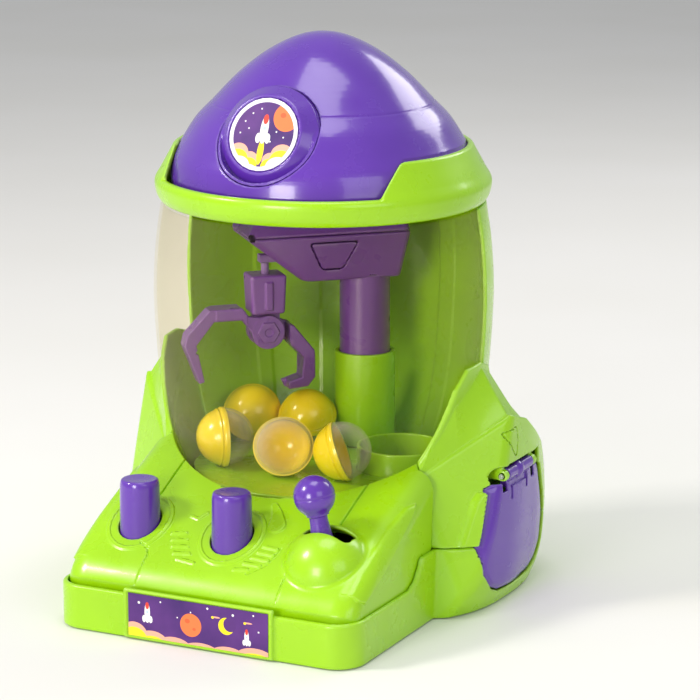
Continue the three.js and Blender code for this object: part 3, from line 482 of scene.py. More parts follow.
GREEN = plastic("green_moulded", (0.345, 0.66, 0.0012), (0.31, 0.6, 0.001), 0.27, 0.05, 0.25, 0.03)
PURPLE = plastic("purple_moulded", (0.118, 0.032, 0.39), (0.098, 0.026, 0.34), 0.22, 0.06, 0.5, 0.02)
DARK_PURPLE = plastic("purple_satin", (0.19, 0.06, 0.36), (0.16, 0.05, 0.31), 0.3, 0.1, 0.3, 0.05)
YELLOW = plastic("yellow_moulded", (0.96, 0.74, 0.008), (0.92, 0.67, 0.006), 0.22, 0.05, 0.45, 0.12)


def place(obj, material, ride_on, *nodes, slot=None):
    obj.data.materials.clear()
    obj.data.materials.append(material)
    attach(obj, ride_on)
    if nodes:
        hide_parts(*nodes)
    return obj


# Housing
SHOULDER = [(-200, 24), (-75, 24), (-68, 27), (-62, 34), (-55, 50), (-55, 60), (-200, 60)]


def door_opening(p, grow):
    return both(polygon(p[:, 1], p[:, 2], DOOR_OUTLINE) - grow, 95 - p[:, 0])


def lower_base(p):
    z = p[:, 2]
    solid = join(tray(p), body(p), 2)
    solid = both(both(solid, z - (SEAM_Z - 0.2), 1.1), -z, 1.2)
    solid = minus(solid, polygon(p[:, 1], z, SHOULDER), 1.7)
    shell = minus(minus(solid, join(tray(p, WALL), body(p, WALL))), door_opening(p, 0.6), 0.8)
    rim = box(p, (-44.4, TRAY_FRONT - 1.6, 0.3), (44.4, TRAY_FRONT + 1.4, 27.4), 1.3)
    rim = minus(rim, box(p, (-41.9, -160, 1.5), (41.9, TRAY_FRONT - 0.5, 25.7), 0.8), 0.7)
    return join(shell, rim, 0.7)


def plan_ring(p, centre, r, width):
    return np.abs(length(p[:, 0] - centre[0], p[:, 1] - centre[1]) - r) - width


def ramp(value, width):
    """1 where value is below 0, falling smoothly to 0 over width."""
    t = np.clip(1 - value / width, 0, 1)
    return t * t * (3 - 2 * t)


# Moulded detail of the deck, as plan points (x, y), or (x, y, width)
LEFT_BARS = [
    ((-34.1, -111.5), (-26.3, -110.1)), ((-32, -115.3), (-23.6, -114.1)), ((-30, -118.8), (-21, -117.8)),
    ((-27, -122.4), (-17.6, -121.7)), ((-23.6, -125.3), (-12.8, -126.4)),
]
RIGHT_BARS = [
    ((20.7, -111.4), (29.1, -112)), ((19.5, -115.1), (28.5, -115.6)), ((17.7, -118.6), (27.5, -119.2)),
    ((15, -122.3), (24.5, -122.7)), ((11.3, -126.5), (18.7, -125.7)),
]
LEFT_FOOT = [(-24.6, -109.3, 1), (-21.5, -115, 1), (-17.5, -120.5, 1), (-11.6, -126, 1)]
RIGHT_FOOT = [(31.2, -111, 1), (30.2, -116, 1), (27.5, -121.5, 1), (19.5, -127.6, 1)]


def stroke(p, points, width, soft):
    """1 along a line of plan points, falling to 0 at its edges; width is one number for each point."""
    best = np.full(len(p), 99.0)
    for (ax, ay, wa), (bx, by, wb) in zip(points, points[1:]):
        ex, ey = bx - ax, by - ay
        t = np.clip(((p[:, 0] - ax) * ex + (p[:, 1] - ay) * ey) / (ex * ex + ey * ey), 0, 1)
        away = length(p[:, 0] - ax - t * ex, p[:, 1] - ay - t * ey) - (wa + (wb - wa) * t) * width
        best = np.minimum(best, away)
    return ramp(best, soft)


SEAM = [
    (42, -150, 1), (41.4, -142, 1), (41.3, -125, 1),
    (43.2, -121.5, 1), (46.8, -120.4, 1), (49, -119, 1),
]
SEAM_BACK = [(55.3, -90, 1), (55.7, -62, 1), (55.7, -40, 1)]


def deck_relief(p):
    """How far the deck's moulded detail stands above or below its plain slope."""
    mirror = np.column_stack([np.abs(p[:, 0]), p[:, 1], p[:, 2]])
    high = np.zeros(len(p))
    for x, y, _, _ in (CLAW_BUTTON, LIFT_BUTTON):
        high += 1.2 * ramp(plan_ring(p, (x, y), 17.2, 0.7), 0.8)
        high += 0.4 * ramp(length(p[:, 0] - x, p[:, 1] - y) - 16.4, 0.8)
    for bars, foot in ((LEFT_BARS, LEFT_FOOT), (RIGHT_BARS, RIGHT_FOOT)):
        for (ax, ay), (bx, by) in bars:
            high = np.maximum(high, 1.1 * stroke(p, [(ax, ay, 1), (bx, by, 1)], 0.6, 0.6))
        high -= 1.0 * stroke(p, foot, 0.25, 0.5)
    high += 0.8 * stroke(p, [(-29.1, -99.2, 1), (-24.4, -100.3, 1), (-21.3, -95.8, 1)], 0.6, 0.8)
    high += 1.1 * stroke(p, [(13, -84, 1.4), (18, -90, 2.4), (21.5, -97.5, 4.4)], 1, 0.9)
    for line in (SEAM, SEAM_BACK):
        high -= 1.7 * stroke(mirror, line, 0.3, 0.35)
    return high


def deck_slope(p):
    y, z = p[:, 1], p[:, 2]
    top = (z - DECK_Z - DECK_RISE * (y - DECK_Y) - deck_relief(p)) / math.hypot(1, DECK_RISE)
    front = (-14.9 * (y + 140.4) + 16.3 * (z - 30.4)) / 22.08
    return both(both(top, front, 12), -(y + 142.3), 3)


BLADE = [
    (-59.5, 67.3), (-67.7, 66.8), (-86.1, 60.2), (-103.2, 52.4), (-117, 45.2), (-130, 36.5), (-128.5, 33),
    (-124.3, 31), (-110.1, 37.2), (-98.1, 43.2), (-83.6, 51.7), (-64.6, 62.8),
]


def deck_blade(p):
    """The tapered ridge along each shoulder of the deck."""
    return np.maximum(polygon(p[:, 1], p[:, 2], BLADE), 70 - np.abs(p[:, 0]))


def stick_dome(p, r):
    return length(p[:, 0] - STICK_X, p[:, 1] - STICK_Y, p[:, 2] - STICK_Z) - r


def control_deck(p):
    z = p[:, 2]
    half = TRAY_HALF - WALL - 0.35
    outline = rounded_rectangle(p, half, TRAY_FRONT + WALL + 0.35, 60, 13.5)
    solid = both(outline, deck_slope(p), 13)
    solid = join(solid, both(solid - 1.3, deck_blade(p), 1.0), 0.5)
    solid = join(solid, stick_dome(p, DOME_R), 2.2)
    inner = join(both(outline + WALL, deck_slope(p) + WALL + 0.6, 11), stick_dome(p, DOME_R - 2))
    shell = minus(both(solid, 21 - z, 0.8), inner)
    slot = box(p, (STICK_X - 12, STICK_Y - 7, STICK_Z + 5), (STICK_X + 14, STICK_Y + 7, 95), 4)
    shell = minus(shell, slot, 1.0)
    for x, y, r, _ in (CLAW_BUTTON, LIFT_BUTTON):
        shell = minus(shell, rod(p, r + 0.6, 20, 95, x, y), 0.9)
    shell = both(shell, np.minimum(beyond_deck(p) + 0.2, 0.3 - flat_face(p, FRONT_FACE)), 0.9)
    around = np.maximum(barrel(p, 0.4), 59.7 - z)
    shell = minus(shell, around, 0.8)
    return np.maximum(minus(shell, rod(p, 78.2, 0, 67)), p[:, 1] + 38.3)


# The wing's two petals, seen from the side, as (y, z)
OUTER_PETAL = [
    (-90, 0), (-66, 38.3), (-60, 50), (-41.4, 76.5), (-0.2, 105.3),
    (20, 99), (52, 78), (60, 60), (60, 0),
]
INNER_PETAL = [
    (-80, 20), (-56, 60), (-41.4, 76.5), (-32, 98), (-22.6, 121), (-13.6, 131),
    (1.3, 132), (14, 128), (40, 98), (58, 60), (58, 20),
]
# Where the slope between the petals starts, on the outer ridge, and where it ends, on the barrel: (x, y, z)
RIDGE = [
    (79.4, -39.6, 77.2), (89.2, -27, 86.4), (100.2, -14.6, 95),
    (111.8, -0.2, 104.8), (112, 20, 98.6), (108.6, 45, 82),
]
PETAL_EDGE = [
    (77.9, -39.9, 79.5), (83.5, -31.5, 98), (88.9, -22.6, 121),
    (93, 1.3, 131.6), (91.6, 14, 127), (78.5, 40, 97),
]


RIDGE_STEP = 1.5


def slope_height(x, y):
    """Height of the slope at a plan point, and the ridge's x and z beside it."""
    ridge, edge = np.array(RIDGE), np.array(PETAL_EDGE)
    x0, z0 = np.interp(y, ridge[:, 1], ridge[:, 0]), np.interp(y, ridge[:, 1], ridge[:, 2])
    x1, z1 = np.interp(y, edge[:, 1], edge[:, 0]), np.interp(y, edge[:, 1], edge[:, 2])
    share = np.clip((x0 - x) / (x0 - x1), 0, 1)
    return z0 - RIDGE_STEP + (z1 - z0 + RIDGE_STEP) * share, x0, z0


def petal_slope(p):
    """A solid under the slope that rises from the outer petal's ridge to the inner petal's edge."""
    x, y, z = np.abs(p[:, 0]), p[:, 1], p[:, 2]
    high, x0, z0 = slope_height(x, y)
    steep_x = slope_height(x + 0.4, y)[0] - slope_height(x - 0.4, y)[0]
    steep_y = slope_height(x, y + 0.4)[0] - slope_height(x, y - 0.4)[0]
    top = (z - high) / np.sqrt(1 + (steep_x / 0.8) ** 2 + (steep_y / 0.8) ** 2)
    ends = np.maximum(slab(y, -41, 45), x - x0)
    return np.maximum(np.maximum(top, z0 - 4 - z), ends)


def wing(p):
    z = p[:, 2]
    apart = -beyond_deck(p) + 0.2
    outer = polygon(p[:, 1], z, OUTER_PETAL)
    block = both(both(body(p), outer, 1.3), 38.3 - z, 0.9)
    block = both(block, apart, 0.8)
    keep = np.maximum(barrel(p, 3), 56 - z)
    hollow = np.maximum(np.maximum(body(p, WALL), outer + 3), -beyond_deck(p) - 0.5)
    shell = minus(block, np.maximum(hollow, -keep))
    shell = minus(minus(shell, np.maximum(barrel(p, 0.4), 59 - z), 0.6), rod(p, 76.3, 20, 60))
    petal = both(np.maximum(barrel(p, 3.2), -barrel(p, 0.4)), polygon(p[:, 1], z, INNER_PETAL), 1.2)
    petal = both(petal, np.maximum(apart, 59 - z), 0.6)
    slope = np.maximum(np.maximum(petal_slope(p), 0.4 - barrel(p)), apart)
    return join(join(shell, petal, 1.2), slope, 0.3)


RIB_OUTLINE = [
    (-37, 38.5), (-35.5, 42), (-25.8, 62.4), (-22.9, 66.2),
    (-18, 66.2), (-24.8, 50), (-29.4, 38.5),
]


def wing_rib(p):
    """The raised rib ahead of the door, as an outline seen from the side."""
    return polygon(p[:, 1], p[:, 2], RIB_OUTLINE)


def right_wing(p):
    y, z = p[:, 1], p[:, 2]
    shell = both(wing(p), 4 - p[:, 0])
    low, high = DOOR_Y - 16.6, DOOR_Y + 16.6
    relief = box(p, (105, low, DOOR_Z - 7), (125, high, DOOR_Z + 5.6), 1.5)
    relief = join(relief, rod(p, 5.3, DOOR_Y - 27.5, DOOR_Y + 27.5, DOOR_X, DOOR_Z, 1))
    shell = join(shell, both(both(body(p) - 2.0, wing_rib(p), 1.6), -(body(p) + 1), 0.2), 0.4)
    shell = minus(shell, relief, 0.8)
    groove = np.abs(polygon(y, z, [(-5, 95), (4, 96.4), (5.4, 89.6), (3.9, 83)]) - 1.2) - 0.3
    shell = minus(shell, both(groove, np.maximum(-(body(p) + 0.9), 90 - p[:, 0])), 0.3)
    away = np.abs(np.abs(y - DOOR_Y) - EAR_Y) - 1.9
    root = box(p, (104, -20, DOOR_Z - 2.4), (DOOR_X, 50, DOOR_Z + 6), 0.3)
    ear = join(rod(p, 3.2, -20, 50, DOOR_X, DOOR_Z, 1), root, 0.3)
    shell = join(shell, both(ear, away, 0.5), 0.4)
    shell = minus(shell, rod(p, 1.75, DOOR_Y - 23, DOOR_Y + 23, DOOR_X, DOOR_Z, 1))
    shell = minus(shell, door_opening(p, 0.6), 0.8)
    return minus(shell, box(p, (50, -15.3, 30), (112, 37.7, 56.5)))


def rear_shell(p):
    x, y, z = p.T
    around = np.degrees(np.arctan2(np.abs(x), y))
    ribs = ramp(np.abs(around - 24) - 3.2, 1.5) + ramp(np.abs(around - 50) - 2.2, 1.5)
    ribs = 0.7 * ribs * ramp(70 - z, 8)
    wall = np.maximum(barrel(p, 0.3), -barrel(p, -2 - ribs))
    wall = both(both(wall, -wedge(p, WINDOW_HALF_SPAN + 0.02), 0.6), slab(z, 56.5, WINDOW_TOP), 0.5)
    groove = np.maximum(np.abs(around - 62) - 0.5, -(barrel(p, -0.6)))
    wall = minus(wall, np.maximum(groove, 95 - z), 0.4)
    line = polygon(y, z, [(60.4, 20), (60.4, 77), (80, 74), (93, 62), (100, 38.3), (100, 20)])
    block = both(both(body(p), line, 4), 38.3 - z, 0.9)
    hollow = np.maximum(np.maximum(body(p, WALL), line + 3), 78.6 - length(x, y))
    skirt = minus(minus(block, hollow), rod(p, 75.5, 20, 60))
    skirt = minus(minus(skirt, np.maximum(barrel(p, -0.2), 56 - z)), door_opening(p, 0.6), 0.8)
    return join(wall, skirt, 1.5)


def window_pane():
    z = np.linspace(60, WINDOW_TOP - 0.5, 56)
    angles = np.linspace(-WINDOW_HALF_SPAN, WINDOW_HALF_SPAN, 150)
    rows, v = len(z), []
    for offset in (0, -1.6):
        for height in z:
            r = barrel_radius(height) + offset
            v += [(r * math.sin(a), -r * math.cos(a), height) for a in angles]
    n, half = len(angles), rows * len(angles)
    corners = [k * n + i for k in range(rows - 1) for i in range(n - 1)]
    outer = [(c, c + 1, c + n + 1, c + n) for c in corners]
    faces = outer + [tuple(half + i for i in reversed(f)) for f in outer]
    for i in range(n - 1):
        faces.append((i + 1, i, half + i, half + i + 1))
        top = (rows - 1) * n + i
        faces.append((top, top + 1, half + top + 1, half + top))
    for k in range(rows - 1):
        a, b = k * n, (k + 1) * n
        faces.append((a, b, half + b, half + a))
        faces.append((b + n - 1, a + n - 1, half + a + n - 1, half + b + n - 1))
    obj = mesh_object("window_pane", v, faces)
    obj.data.set_sharp_from_angle(angle=math.radians(50))
    return obj


# Roof
RING = [(214.8, 88.3), (218.5, 90.6), (222, 91.6), (226, 91.9), (232.5, 88.5), (243.5, 82.5), (246, 81.2)]
RING_TABLE = smooth_table(RING, 1)
CAP = [
    (84, 217), (84, 229.4), (81.5, 240), (76.4, 248.6), (69.4, 259.5),
    (60.7, 268.5), (46, 283.5), (30.1, 295.7), (14, 303.6), (0, 306),
]
BADGE = np.array([0, -63, 257])
BADGE_TILT = math.radians(24)
BADGE_R, BADGE_RISE, STICKER_R = 28.5, 7, 19.8


def smooth_line(points, steps=5):
    """More points along a curve through the ones given, which is straight where they are in line."""
    pts = np.asarray(points, float)
    extended = np.vstack([2 * pts[0] - pts[1], pts, 2 * pts[-1] - pts[-2]])
    result = []
    for a, b, c, d in zip(extended, extended[1:], extended[2:], extended[3:]):
        for t in np.linspace(0, 1, steps, endpoint=False):
            curve = 2 * b + (c - a) * t + (2 * a - 5 * b + 4 * c - d) * t**2
            result.append(0.5 * (curve + (3 * b - a - 3 * c + d) * t**3))
    return [tuple(q) for q in result] + [tuple(pts[-1])]


CAP_LINE = smooth_line([(84, 229.4)] + CAP[2:] + [(-14, 303.6)])
CAP_SOLID = [(0, 216), (84, 216)] + [q for q in CAP_LINE if q[0] >= 0]


def ring_curve(p, extra):
    z = p[:, 2]
    r = np.interp(z, *RING_TABLE)
    slope = np.interp(z + 0.5, *RING_TABLE) - np.interp(z - 0.5, *RING_TABLE)
    return (length(p[:, 0], p[:, 1]) - r - extra) / np.sqrt(1 + slope * slope)


def low_front(p, shrink=0.0):
    x, y, z = np.abs(p[:, 0]), p[:, 1], p[:, 2]
    slant = (x - 64.5 + shrink - (z - 229) * 0.167) * 0.986
    across = np.minimum(wedge(p, math.radians(47)) + shrink, np.maximum(slant, y + 30))
    return both(229 + shrink - z, across, 2)


def roof_ring(p):
    wall = both(np.maximum(ring_curve(p, 0), -ring_curve(p, -3.4)), slab(p[:, 2], 214.8, 246), 1.3)
    return minus(wall, low_front(p), 1.2)


def badge_frame(p):
    """Distance from the badge's own axis, and height along it."""
    q = p - BADGE
    out = np.array([0, -math.cos(BADGE_TILT), math.sin(BADGE_TILT)])
    high = q @ out
    return np.sqrt(np.maximum((q * q).sum(1) - high * high, 0)), high


def roof_cap(p):
    z = p[:, 2]
    d = turned(p, CAP_SOLID)
    shell = minus(both(d, 217.3 - z, 0.6), d + 2.6)
    groove = length(length(p[:, 0], p[:, 1]) - 61.4, z - 268.9) - 0.9
    shell = minus(shell, groove, 0.5)
    taken = np.maximum(-ring_curve(p, -3.4 - 0.35), slab(z, 205, 246.35))
    shell = minus(shell, minus(taken, low_front(p, 0.35)), 0.8)
    radial, high = badge_frame(p)
    return minus(shell, np.maximum(radial - BADGE_R - 0.35, slab(high, -12, 30)), 0.8)


def badge_boss(p):
    radial, high = badge_frame(p)
    top, rim = BADGE_RISE, STICKER_R + 1.8
    cone = polygon(radial, high, [(-50, -9), (BADGE_R, -9), (BADGE_R, 0), (rim, top), (-50, top)])
    seat = both(radial - STICKER_R - 0.5, top - 0.8 - high)
    cone = minus(both(cone, high - top - 0.1, 0.8), seat, 0.3)
    wall = both(np.abs(radial - BADGE_R + 0.8) - 0.8, slab(high, -9, 16), 0.3)
    return join(cone, np.maximum(wall, turned(p, CAP_SOLID) + 0.4), 0.8)


# Pit
def pit_floor(p):
    disc = both(length(p[:, 0], p[:, 1]) - 72.4, slab(p[:, 2], FLOOR_Z - 3, FLOOR_Z), 0.7)
    disc = minus(disc, rod(p, CHUTE[2] + 0.35, 50, 80, CHUTE[0], CHUTE[1]), 0.5)
    return minus(disc, rod(p, 15.2, 50, 80, 0, COLUMN_Y))


# The prize door, drawn closed: a faceted skin that follows the body, with its hinge bar
def prize_door(p):
    x, y, z = p.T
    skin = body(p, 0.2)
    facet = 0.9 * ramp(np.abs(y - DOOR_Y + 4 - 0.06 * (z - 35)) - 1, 22) - 0.9
    outline = polygon(y, z, DOOR_OUTLINE)
    rim = 0.8 * ramp(-outline - 1.0, 2.2)
    front = skin - facet * ramp(z - 66, 6) + rim * 0.6
    panel = both(np.maximum(front, -(skin + WALL)), np.maximum(outline + 0.1, 95 - x), 0.9)
    slot = join(box(p, (100, -2, 65.6), (125, 21, 69), 0.9), box(p, (100, -1.5, 58.6), (125, 0.8, 68), 0.9))
    slot = join(slot, box(p, (100, 18.6, 60.5), (125, 20.8, 68), 0.9))
    panel = minus(panel, np.maximum(slot, -(skin + 1.6)), 0.4)
    for c in (DOOR_Y - EAR_Y, DOOR_Y + EAR_Y):
        panel = minus(panel, box(p, (100, c - 2.6, DOOR_Z - 9), (125, c + 2.6, DOOR_Z - 1)), 0.4)
    arm = box(p, (DOOR_X - 4, DOOR_Y - 14, DOOR_Z - 8), (DOOR_X, DOOR_Y + 14, DOOR_Z), 0.5)
    knuckle = rod(p, 3.4, DOOR_Y - 15.8, DOOR_Y + 15.8, DOOR_X, DOOR_Z, 1, 0.6)
    whole = join(join(panel, arm, 0.6), knuckle, 0.8)
    knob = length(x - 112.4, (y - 9.5) * 0.9, (z - 73) * 0.9) - 4.2
    whole = join(whole, np.maximum(knob, 106 - x), 0.8)
    return minus(whole, rod(p, 1.75, DOOR_Y - 23, DOOR_Y + 23, DOOR_X, DOOR_Z, 1))


# Arm and claw, in their own frame: x out along the arm from the column's axis
def along_arm(p):
    a = math.radians(90 - ARM_ANGLE)
    q = p - np.array([0, COLUMN_Y, 0])
    x = q[:, 0] * math.cos(a) - q[:, 1] * math.sin(a)
    y = q[:, 0] * math.sin(a) + q[:, 1] * math.cos(a)
    return np.column_stack([x, y, q[:, 2]])


def flared(q, low, high, z0, z1, r):
    t = (q[:, 2] - z0) / (z1 - z0)
    (a0, b0, w0), (a1, b1, w1) = low, high
    tall = z1 - z0
    left = (a0 + (a1 - a0) * t - q[:, 0]) / math.hypot(1, (a1 - a0) / tall)
    right = (q[:, 0] - b0 - (b1 - b0) * t) / math.hypot(1, (b1 - b0) / tall)
    side = (np.abs(q[:, 1]) - w0 - (w1 - w0) * t) / math.hypot(1, (w1 - w0) / tall)
    return both(both(np.maximum(left, right), side, r), slab(q[:, 2], z0, z1), min(r, 1.6))


def arm_shell(p):
    q = along_arm(p)
    outer = flared(q, (-17, 40, 15), (-21, 74, 22), ARM_LOW, 190, 3.5)
    inner = flared(q, (-14.6, 37.6, 12.6), (-18.8, 72.2, 20.2), ARM_LOW + WALL, 194, 2)
    shell = minus(outer, inner)
    panel = both(np.abs(q[:, 0] - 24) - 16 + 0.5 * (190 - q[:, 2]), np.abs(q[:, 2] - 178) - 8, 2)
    shell = minus(shell, np.maximum(np.abs(panel) - 0.4, 12 - np.abs(q[:, 1])), 0.3)
    for hole in (
        rod(q, COLUMN_R + 0.35, 150, 172),
        box(q, (ARM_LENGTH - 10.9, -9.4, 150), (ARM_LENGTH + 10.9, 9.4, 186.4)),
        box(q, (ARM_LENGTH - 22, -3.8, 164), (ARM_LENGTH, 3.8, 186)),
    ):
        shell = minus(shell, hole, 0.5)
    return shell


def arm_cover(p):
    q = along_arm(p)
    outer = flared(q, (-21, 74, 22), (-17, 66, 17), 190.3, ARM_HIGH, 3.5)
    return minus(outer, flared(q, (-18.8, 71.8, 19.8), (-15, 64, 15), 186, ARM_HIGH - WALL, 2))


def claw_post(p):
    q = along_arm(p)
    x = ARM_LENGTH
    block = flared(q, (x - 9.5, x + 9.5, 8.6), (x - 10.5, x + 10.5, 9), 144.5, 166.6, 2)
    ridge = box(q, (x - 2.2, 8.2, 147), (x + 2.2, 10, 163), 0.9)
    tongue = join(box(q, (x - 8, -2.6, CLAW_Z), (x + 8, 2.6, 146)), rod(q, 8, -2.6, 2.6, x, CLAW_Z, 1), 0)
    whole = join(join(block, ridge, 0.8), both(tongue, np.abs(q[:, 1]) - 2.6, 0.4), 1.2)
    return minus(minus(whole, rod(q, 2.7, 142.4, 190, x, 0)), rod(q, 1.9, -20, 20, x, CLAW_Z, 1))


JAW_OUTER = [
    (0, 8), (11, 9.6), (15, 14.5), (34, 14.5), (47, 1), (48.5, -5),
    (40, -27), (37, -26), (41.5, -5), (31, 8), (15, 8), (6, -5),
]
JAW_INNER = [
    (-3, 8), (-15, 3), (-27, -12), (-28, -28), (-24, -33.5), (-12.5, -34.6),
    (-10.5, -30.5), (-20, -27.5), (-20.5, -16), (-12, -7), (-4, -7),
]


def jaw(p, outline, half_width, y0, y1, hexagon):
    q = along_arm(p)
    x, y, z = q[:, 0] - ARM_LENGTH, q[:, 1], q[:, 2] - CLAW_Z
    flat = polygon(x, z, outline)
    narrow = both(flat, slab(y, y0, y1), 0.8)
    wide = both(flat, np.maximum(np.abs(y) - half_width(x, z), 12.5 - np.abs(x)), 1.1)
    hub = rod(q, 9.6, y0, y1, ARM_LENGTH, CLAW_Z, 1, 0.7)
    whole = join(join(narrow, wide, 0.8), hub, 1.0)
    if hexagon:
        six_sided = np.maximum(np.abs(x) * 0.866 + np.abs(z) * 0.5, np.abs(z)) - 5.6
        nut = np.maximum(six_sided, slab(y, y1 - 0.5, y1 + 1.3))
        whole = join(whole, both(nut, y - y1 - 1.3, 0.5), 0.3)
        whole = minus(whole, np.maximum(length(x, z) - 2.3, y1 + 0.5 - y), 0.3)
        whole = minus(whole, length(x - 41, z + 9) - 1.0, 0.2)
    hole_top = y1 - 2 if hexagon else y1 + 20
    return minus(whole, rod(q, 1.9, -20, hole_top, ARM_LENGTH, CLAW_Z, 1))


def outer_width(x, z):
    low = np.interp(x, [12.5, 30, 34, 60], [7.5, 7.5, 3.3, 3.3])
    return np.where(z < -6, 3.3, low)


def inner_width(x, z):
    return np.interp(z, [-38, -16, 16], [3.4, 7.5, 7.5])


# Turned pieces
def tube_profile(outer, inner, low, high):
    return [(inner, low), (outer, low), (outer, high), (inner, high)]


def lathe_piece(name, profile, radius, at=(0, 0), sides=96):
    return spun(name, rounded(profile, radius), sides, (at[0], at[1], 0))


def push_button(name, button):
    x, y, r, top = button
    stem = 30.3 if name == "lift_button" else 25.2
    profile = [(0, top - 0.5), (r - 6, top - 0.25), (r - 1.1, top), (r - 0.35, top - 3), (r, 43)]
    profile += [(13.4, 42.6), (13.4, 40.6), (5, 40.6), (5, stem + 2), (3, stem + 2), (3, stem), (0, stem)]
    return spun(name, rounded(profile[::-1], 1.5, 6), 96, (x, y, 0))


def stick_parts():
    ball_r, ball_z = 11, 40.3
    ball = [(0, 50.4), (0.9, 50.4), (1.0, 51.2)]
    for k in range(3, 44):
        a = math.pi / 2 - k * math.pi / 60
        r, z = ball_r * math.cos(a), ball_z + ball_r * math.sin(a)
        dent = 0.28 if abs(z - ball_z) < 0.3 else 0
        if r > 5.6 or z > ball_z:
            ball.append((r - dent, z))
    neck = [(6.1, 30.9), (6.1, 30.2), (4.9, 29.4), (4.9, 27), (5.4, 22), (6.0, 15), (6.2, 12), (0, 12)]
    lever = [(0, -36.2), (1.9, -35.6), (3.0, -34.2), (3.2, -33), (2.9, -31.2)]
    lever += [(2.6, -30.2), (2.6, 12.5), (0, 12.5)]
    return spun("joystick_ball", (ball + neck)[::-1], 72), spun("joystick_lever", lever, 32)


def hub_piece(name, r, half):
    return spun(name, rounded([(0, -half), (r, -half), (r, half), (0, half)], 0.6), 48)


def moved(obj, matrix):
    obj.data.transform(matrix)
    return obj


def millimetres(x, y, z):
    return Matrix.Translation(Vector((x, y, z)) * MM)


CAPSULE_R, CAPSULE_WALL, HALF_GAP = 16, 1.4, 0.15


def capsule_half(name, yellow):
    """A half shell that opens downwards; the yellow one has a collar that the clear one fits in."""
    r = CAPSULE_R
    outer = []
    for k in range(0, 25):
        a = k * math.pi / 48
        lift = 0.0
        z = r * math.sin(a)
        if yellow and z < 2.7:
            lift = 0.75 - r * math.cos(a) + r
        elif yellow and 3.6 < z < 5.0:
            lift = 0.5
        elif not yellow and z < 1.6:
            lift = 0.12
        outer.append((r * math.cos(a) + lift, HALF_GAP + z * (r - HALF_GAP) / r))
    outer[-1] = (0, r)
    hollow = r - CAPSULE_WALL
    turns = np.linspace(0, math.pi / 2, 16)
    inner = [(hollow * math.cos(a), HALF_GAP + (hollow - HALF_GAP) * math.sin(a)) for a in turns]
    inner[-1] = (0, hollow)
    return spun(name, outer + inner[::-1], 72)


# Each capsule: x, y, the azimuth and rise of its axis in degrees, and z
BALLS = [
    (-57.6, 23.4, 20, 30, 81.4),
    (-46.3, -30, -50, 0, 81.4),
    (-8, -33.5, 206, -30, 81.4),
    (25.4, -28, -70, -20, 81.4),
    (-25.5, 29.6, 20, 60, 81.4),
    (82, 11.2, 30, 40, 28.7),
]


# See-through plastic: a tinted clear skin whose gloss grows at glancing angles
def clear(name, tint, gloss_low, gloss_high, milk):
    material, tree, shader, place = start_material(name)
    shader.inputs["Base Color"].default_value = (*tint, 1)
    shader.inputs["Roughness"].default_value = 0.06
    shader.inputs["Coat Weight"].default_value = 0.5
    shader.inputs["Coat Roughness"].default_value = 0.03
    bump = node(tree, "ShaderNodeBump")
    set_inputs(bump, Strength=0.05, Distance=0.001)
    tree.links.new(noise(tree, place, 30, 2), bump.inputs["Height"])
    tree.links.new(bump.outputs["Normal"], shader.inputs["Normal"])
    through = node(tree, "ShaderNodeBsdfTransparent")
    through.inputs["Color"].default_value = (*milk, 1)
    facing = node(tree, "ShaderNodeLayerWeight")
    facing.inputs["Blend"].default_value = 0.35
    share = spread(tree, facing.outputs["Facing"], gloss_low, gloss_high, 0.0, 1.0)
    mix = node(tree, "ShaderNodeMixShader")
    tree.links.new(share, mix.inputs[0])
    tree.links.new(through.outputs[0], mix.inputs[1])
    tree.links.new(shader.outputs[0], mix.inputs[2])
    tree.links.new(mix.outputs[0], tree.nodes["Material Output"].inputs["Surface"])
    return material


WINDOW = clear("window_clear", (0.75, 0.66, 0.45), 0.0, 0.12, (0.985, 0.97, 0.915))
CAPSULE = clear("capsule_clear", (0.97, 0.95, 0.9), 0.0, 0.45, (0.995, 0.99, 0.97))


def steel():
    material, tree, shader, place = start_material("drawn_steel")
    share = spread(tree, noise(tree, place, 300, 4), 0, 1)
    tone = mixed(tree, share, (0.36, 0.37, 0.38), (0.55, 0.56, 0.58))
    tree.links.new(tone, shader.inputs["Base Color"])
    tree.links.new(spread(tree, noise(tree, place, 120, 4), 0.25, 0.45), shader.inputs["Roughness"])
    shader.inputs["Metallic"].default_value = 1
    return material


STEEL = steel()


# Printed art, drawn from simple shapes in the sticker's own plane. u goes right and v up, in millimetres.
def art(name, right, up, centre, scale=1.0):
    material, tree, shader, place = start_material(name)
    shader.inputs["Roughness"].default_value = 0.5
    shader.inputs["Coat Weight"].default_value = 0.1
    shader.inputs["Coat Roughness"].default_value = 0.3
    shader.inputs["Specular IOR Level"].default_value = 0.25
    at = []
    for direction in (right, up):
        shift = node(tree, "ShaderNodeVectorMath", operation="SUBTRACT")
        tree.links.new(place.outputs["Object"], shift.inputs[0])
        shift.inputs[1].default_value = Vector(centre) * MM
        dot = node(tree, "ShaderNodeVectorMath", operation="DOT_PRODUCT")
        tree.links.new(shift.outputs[0], dot.inputs[0])
        dot.inputs[1].default_value = Vector(direction) * scale / MM
        at.append(dot.outputs["Value"])
    return material, tree, shader, at


def sums(tree, operation, a, b=None):
    made = node(tree, "ShaderNodeMath", operation=operation)
    for i, value in enumerate((a, b)):
        if isinstance(value, bpy.types.NodeSocket):
            tree.links.new(value, made.inputs[i])
        elif value is not None:
            made.inputs[i].default_value = value
    return made.outputs[0]


def blob(tree, at, u, v, ru, rv):
    """1 inside an ellipse, with a crisp edge."""
    a = sums(tree, "DIVIDE", sums(tree, "SUBTRACT", at[0], u), ru)
    b = sums(tree, "DIVIDE", sums(tree, "SUBTRACT", at[1], v), rv)
    r = sums(tree, "ADD", sums(tree, "MULTIPLY", a, a), sums(tree, "MULTIPLY", b, b))
    return sums(tree, "LESS_THAN", r, 1.0)


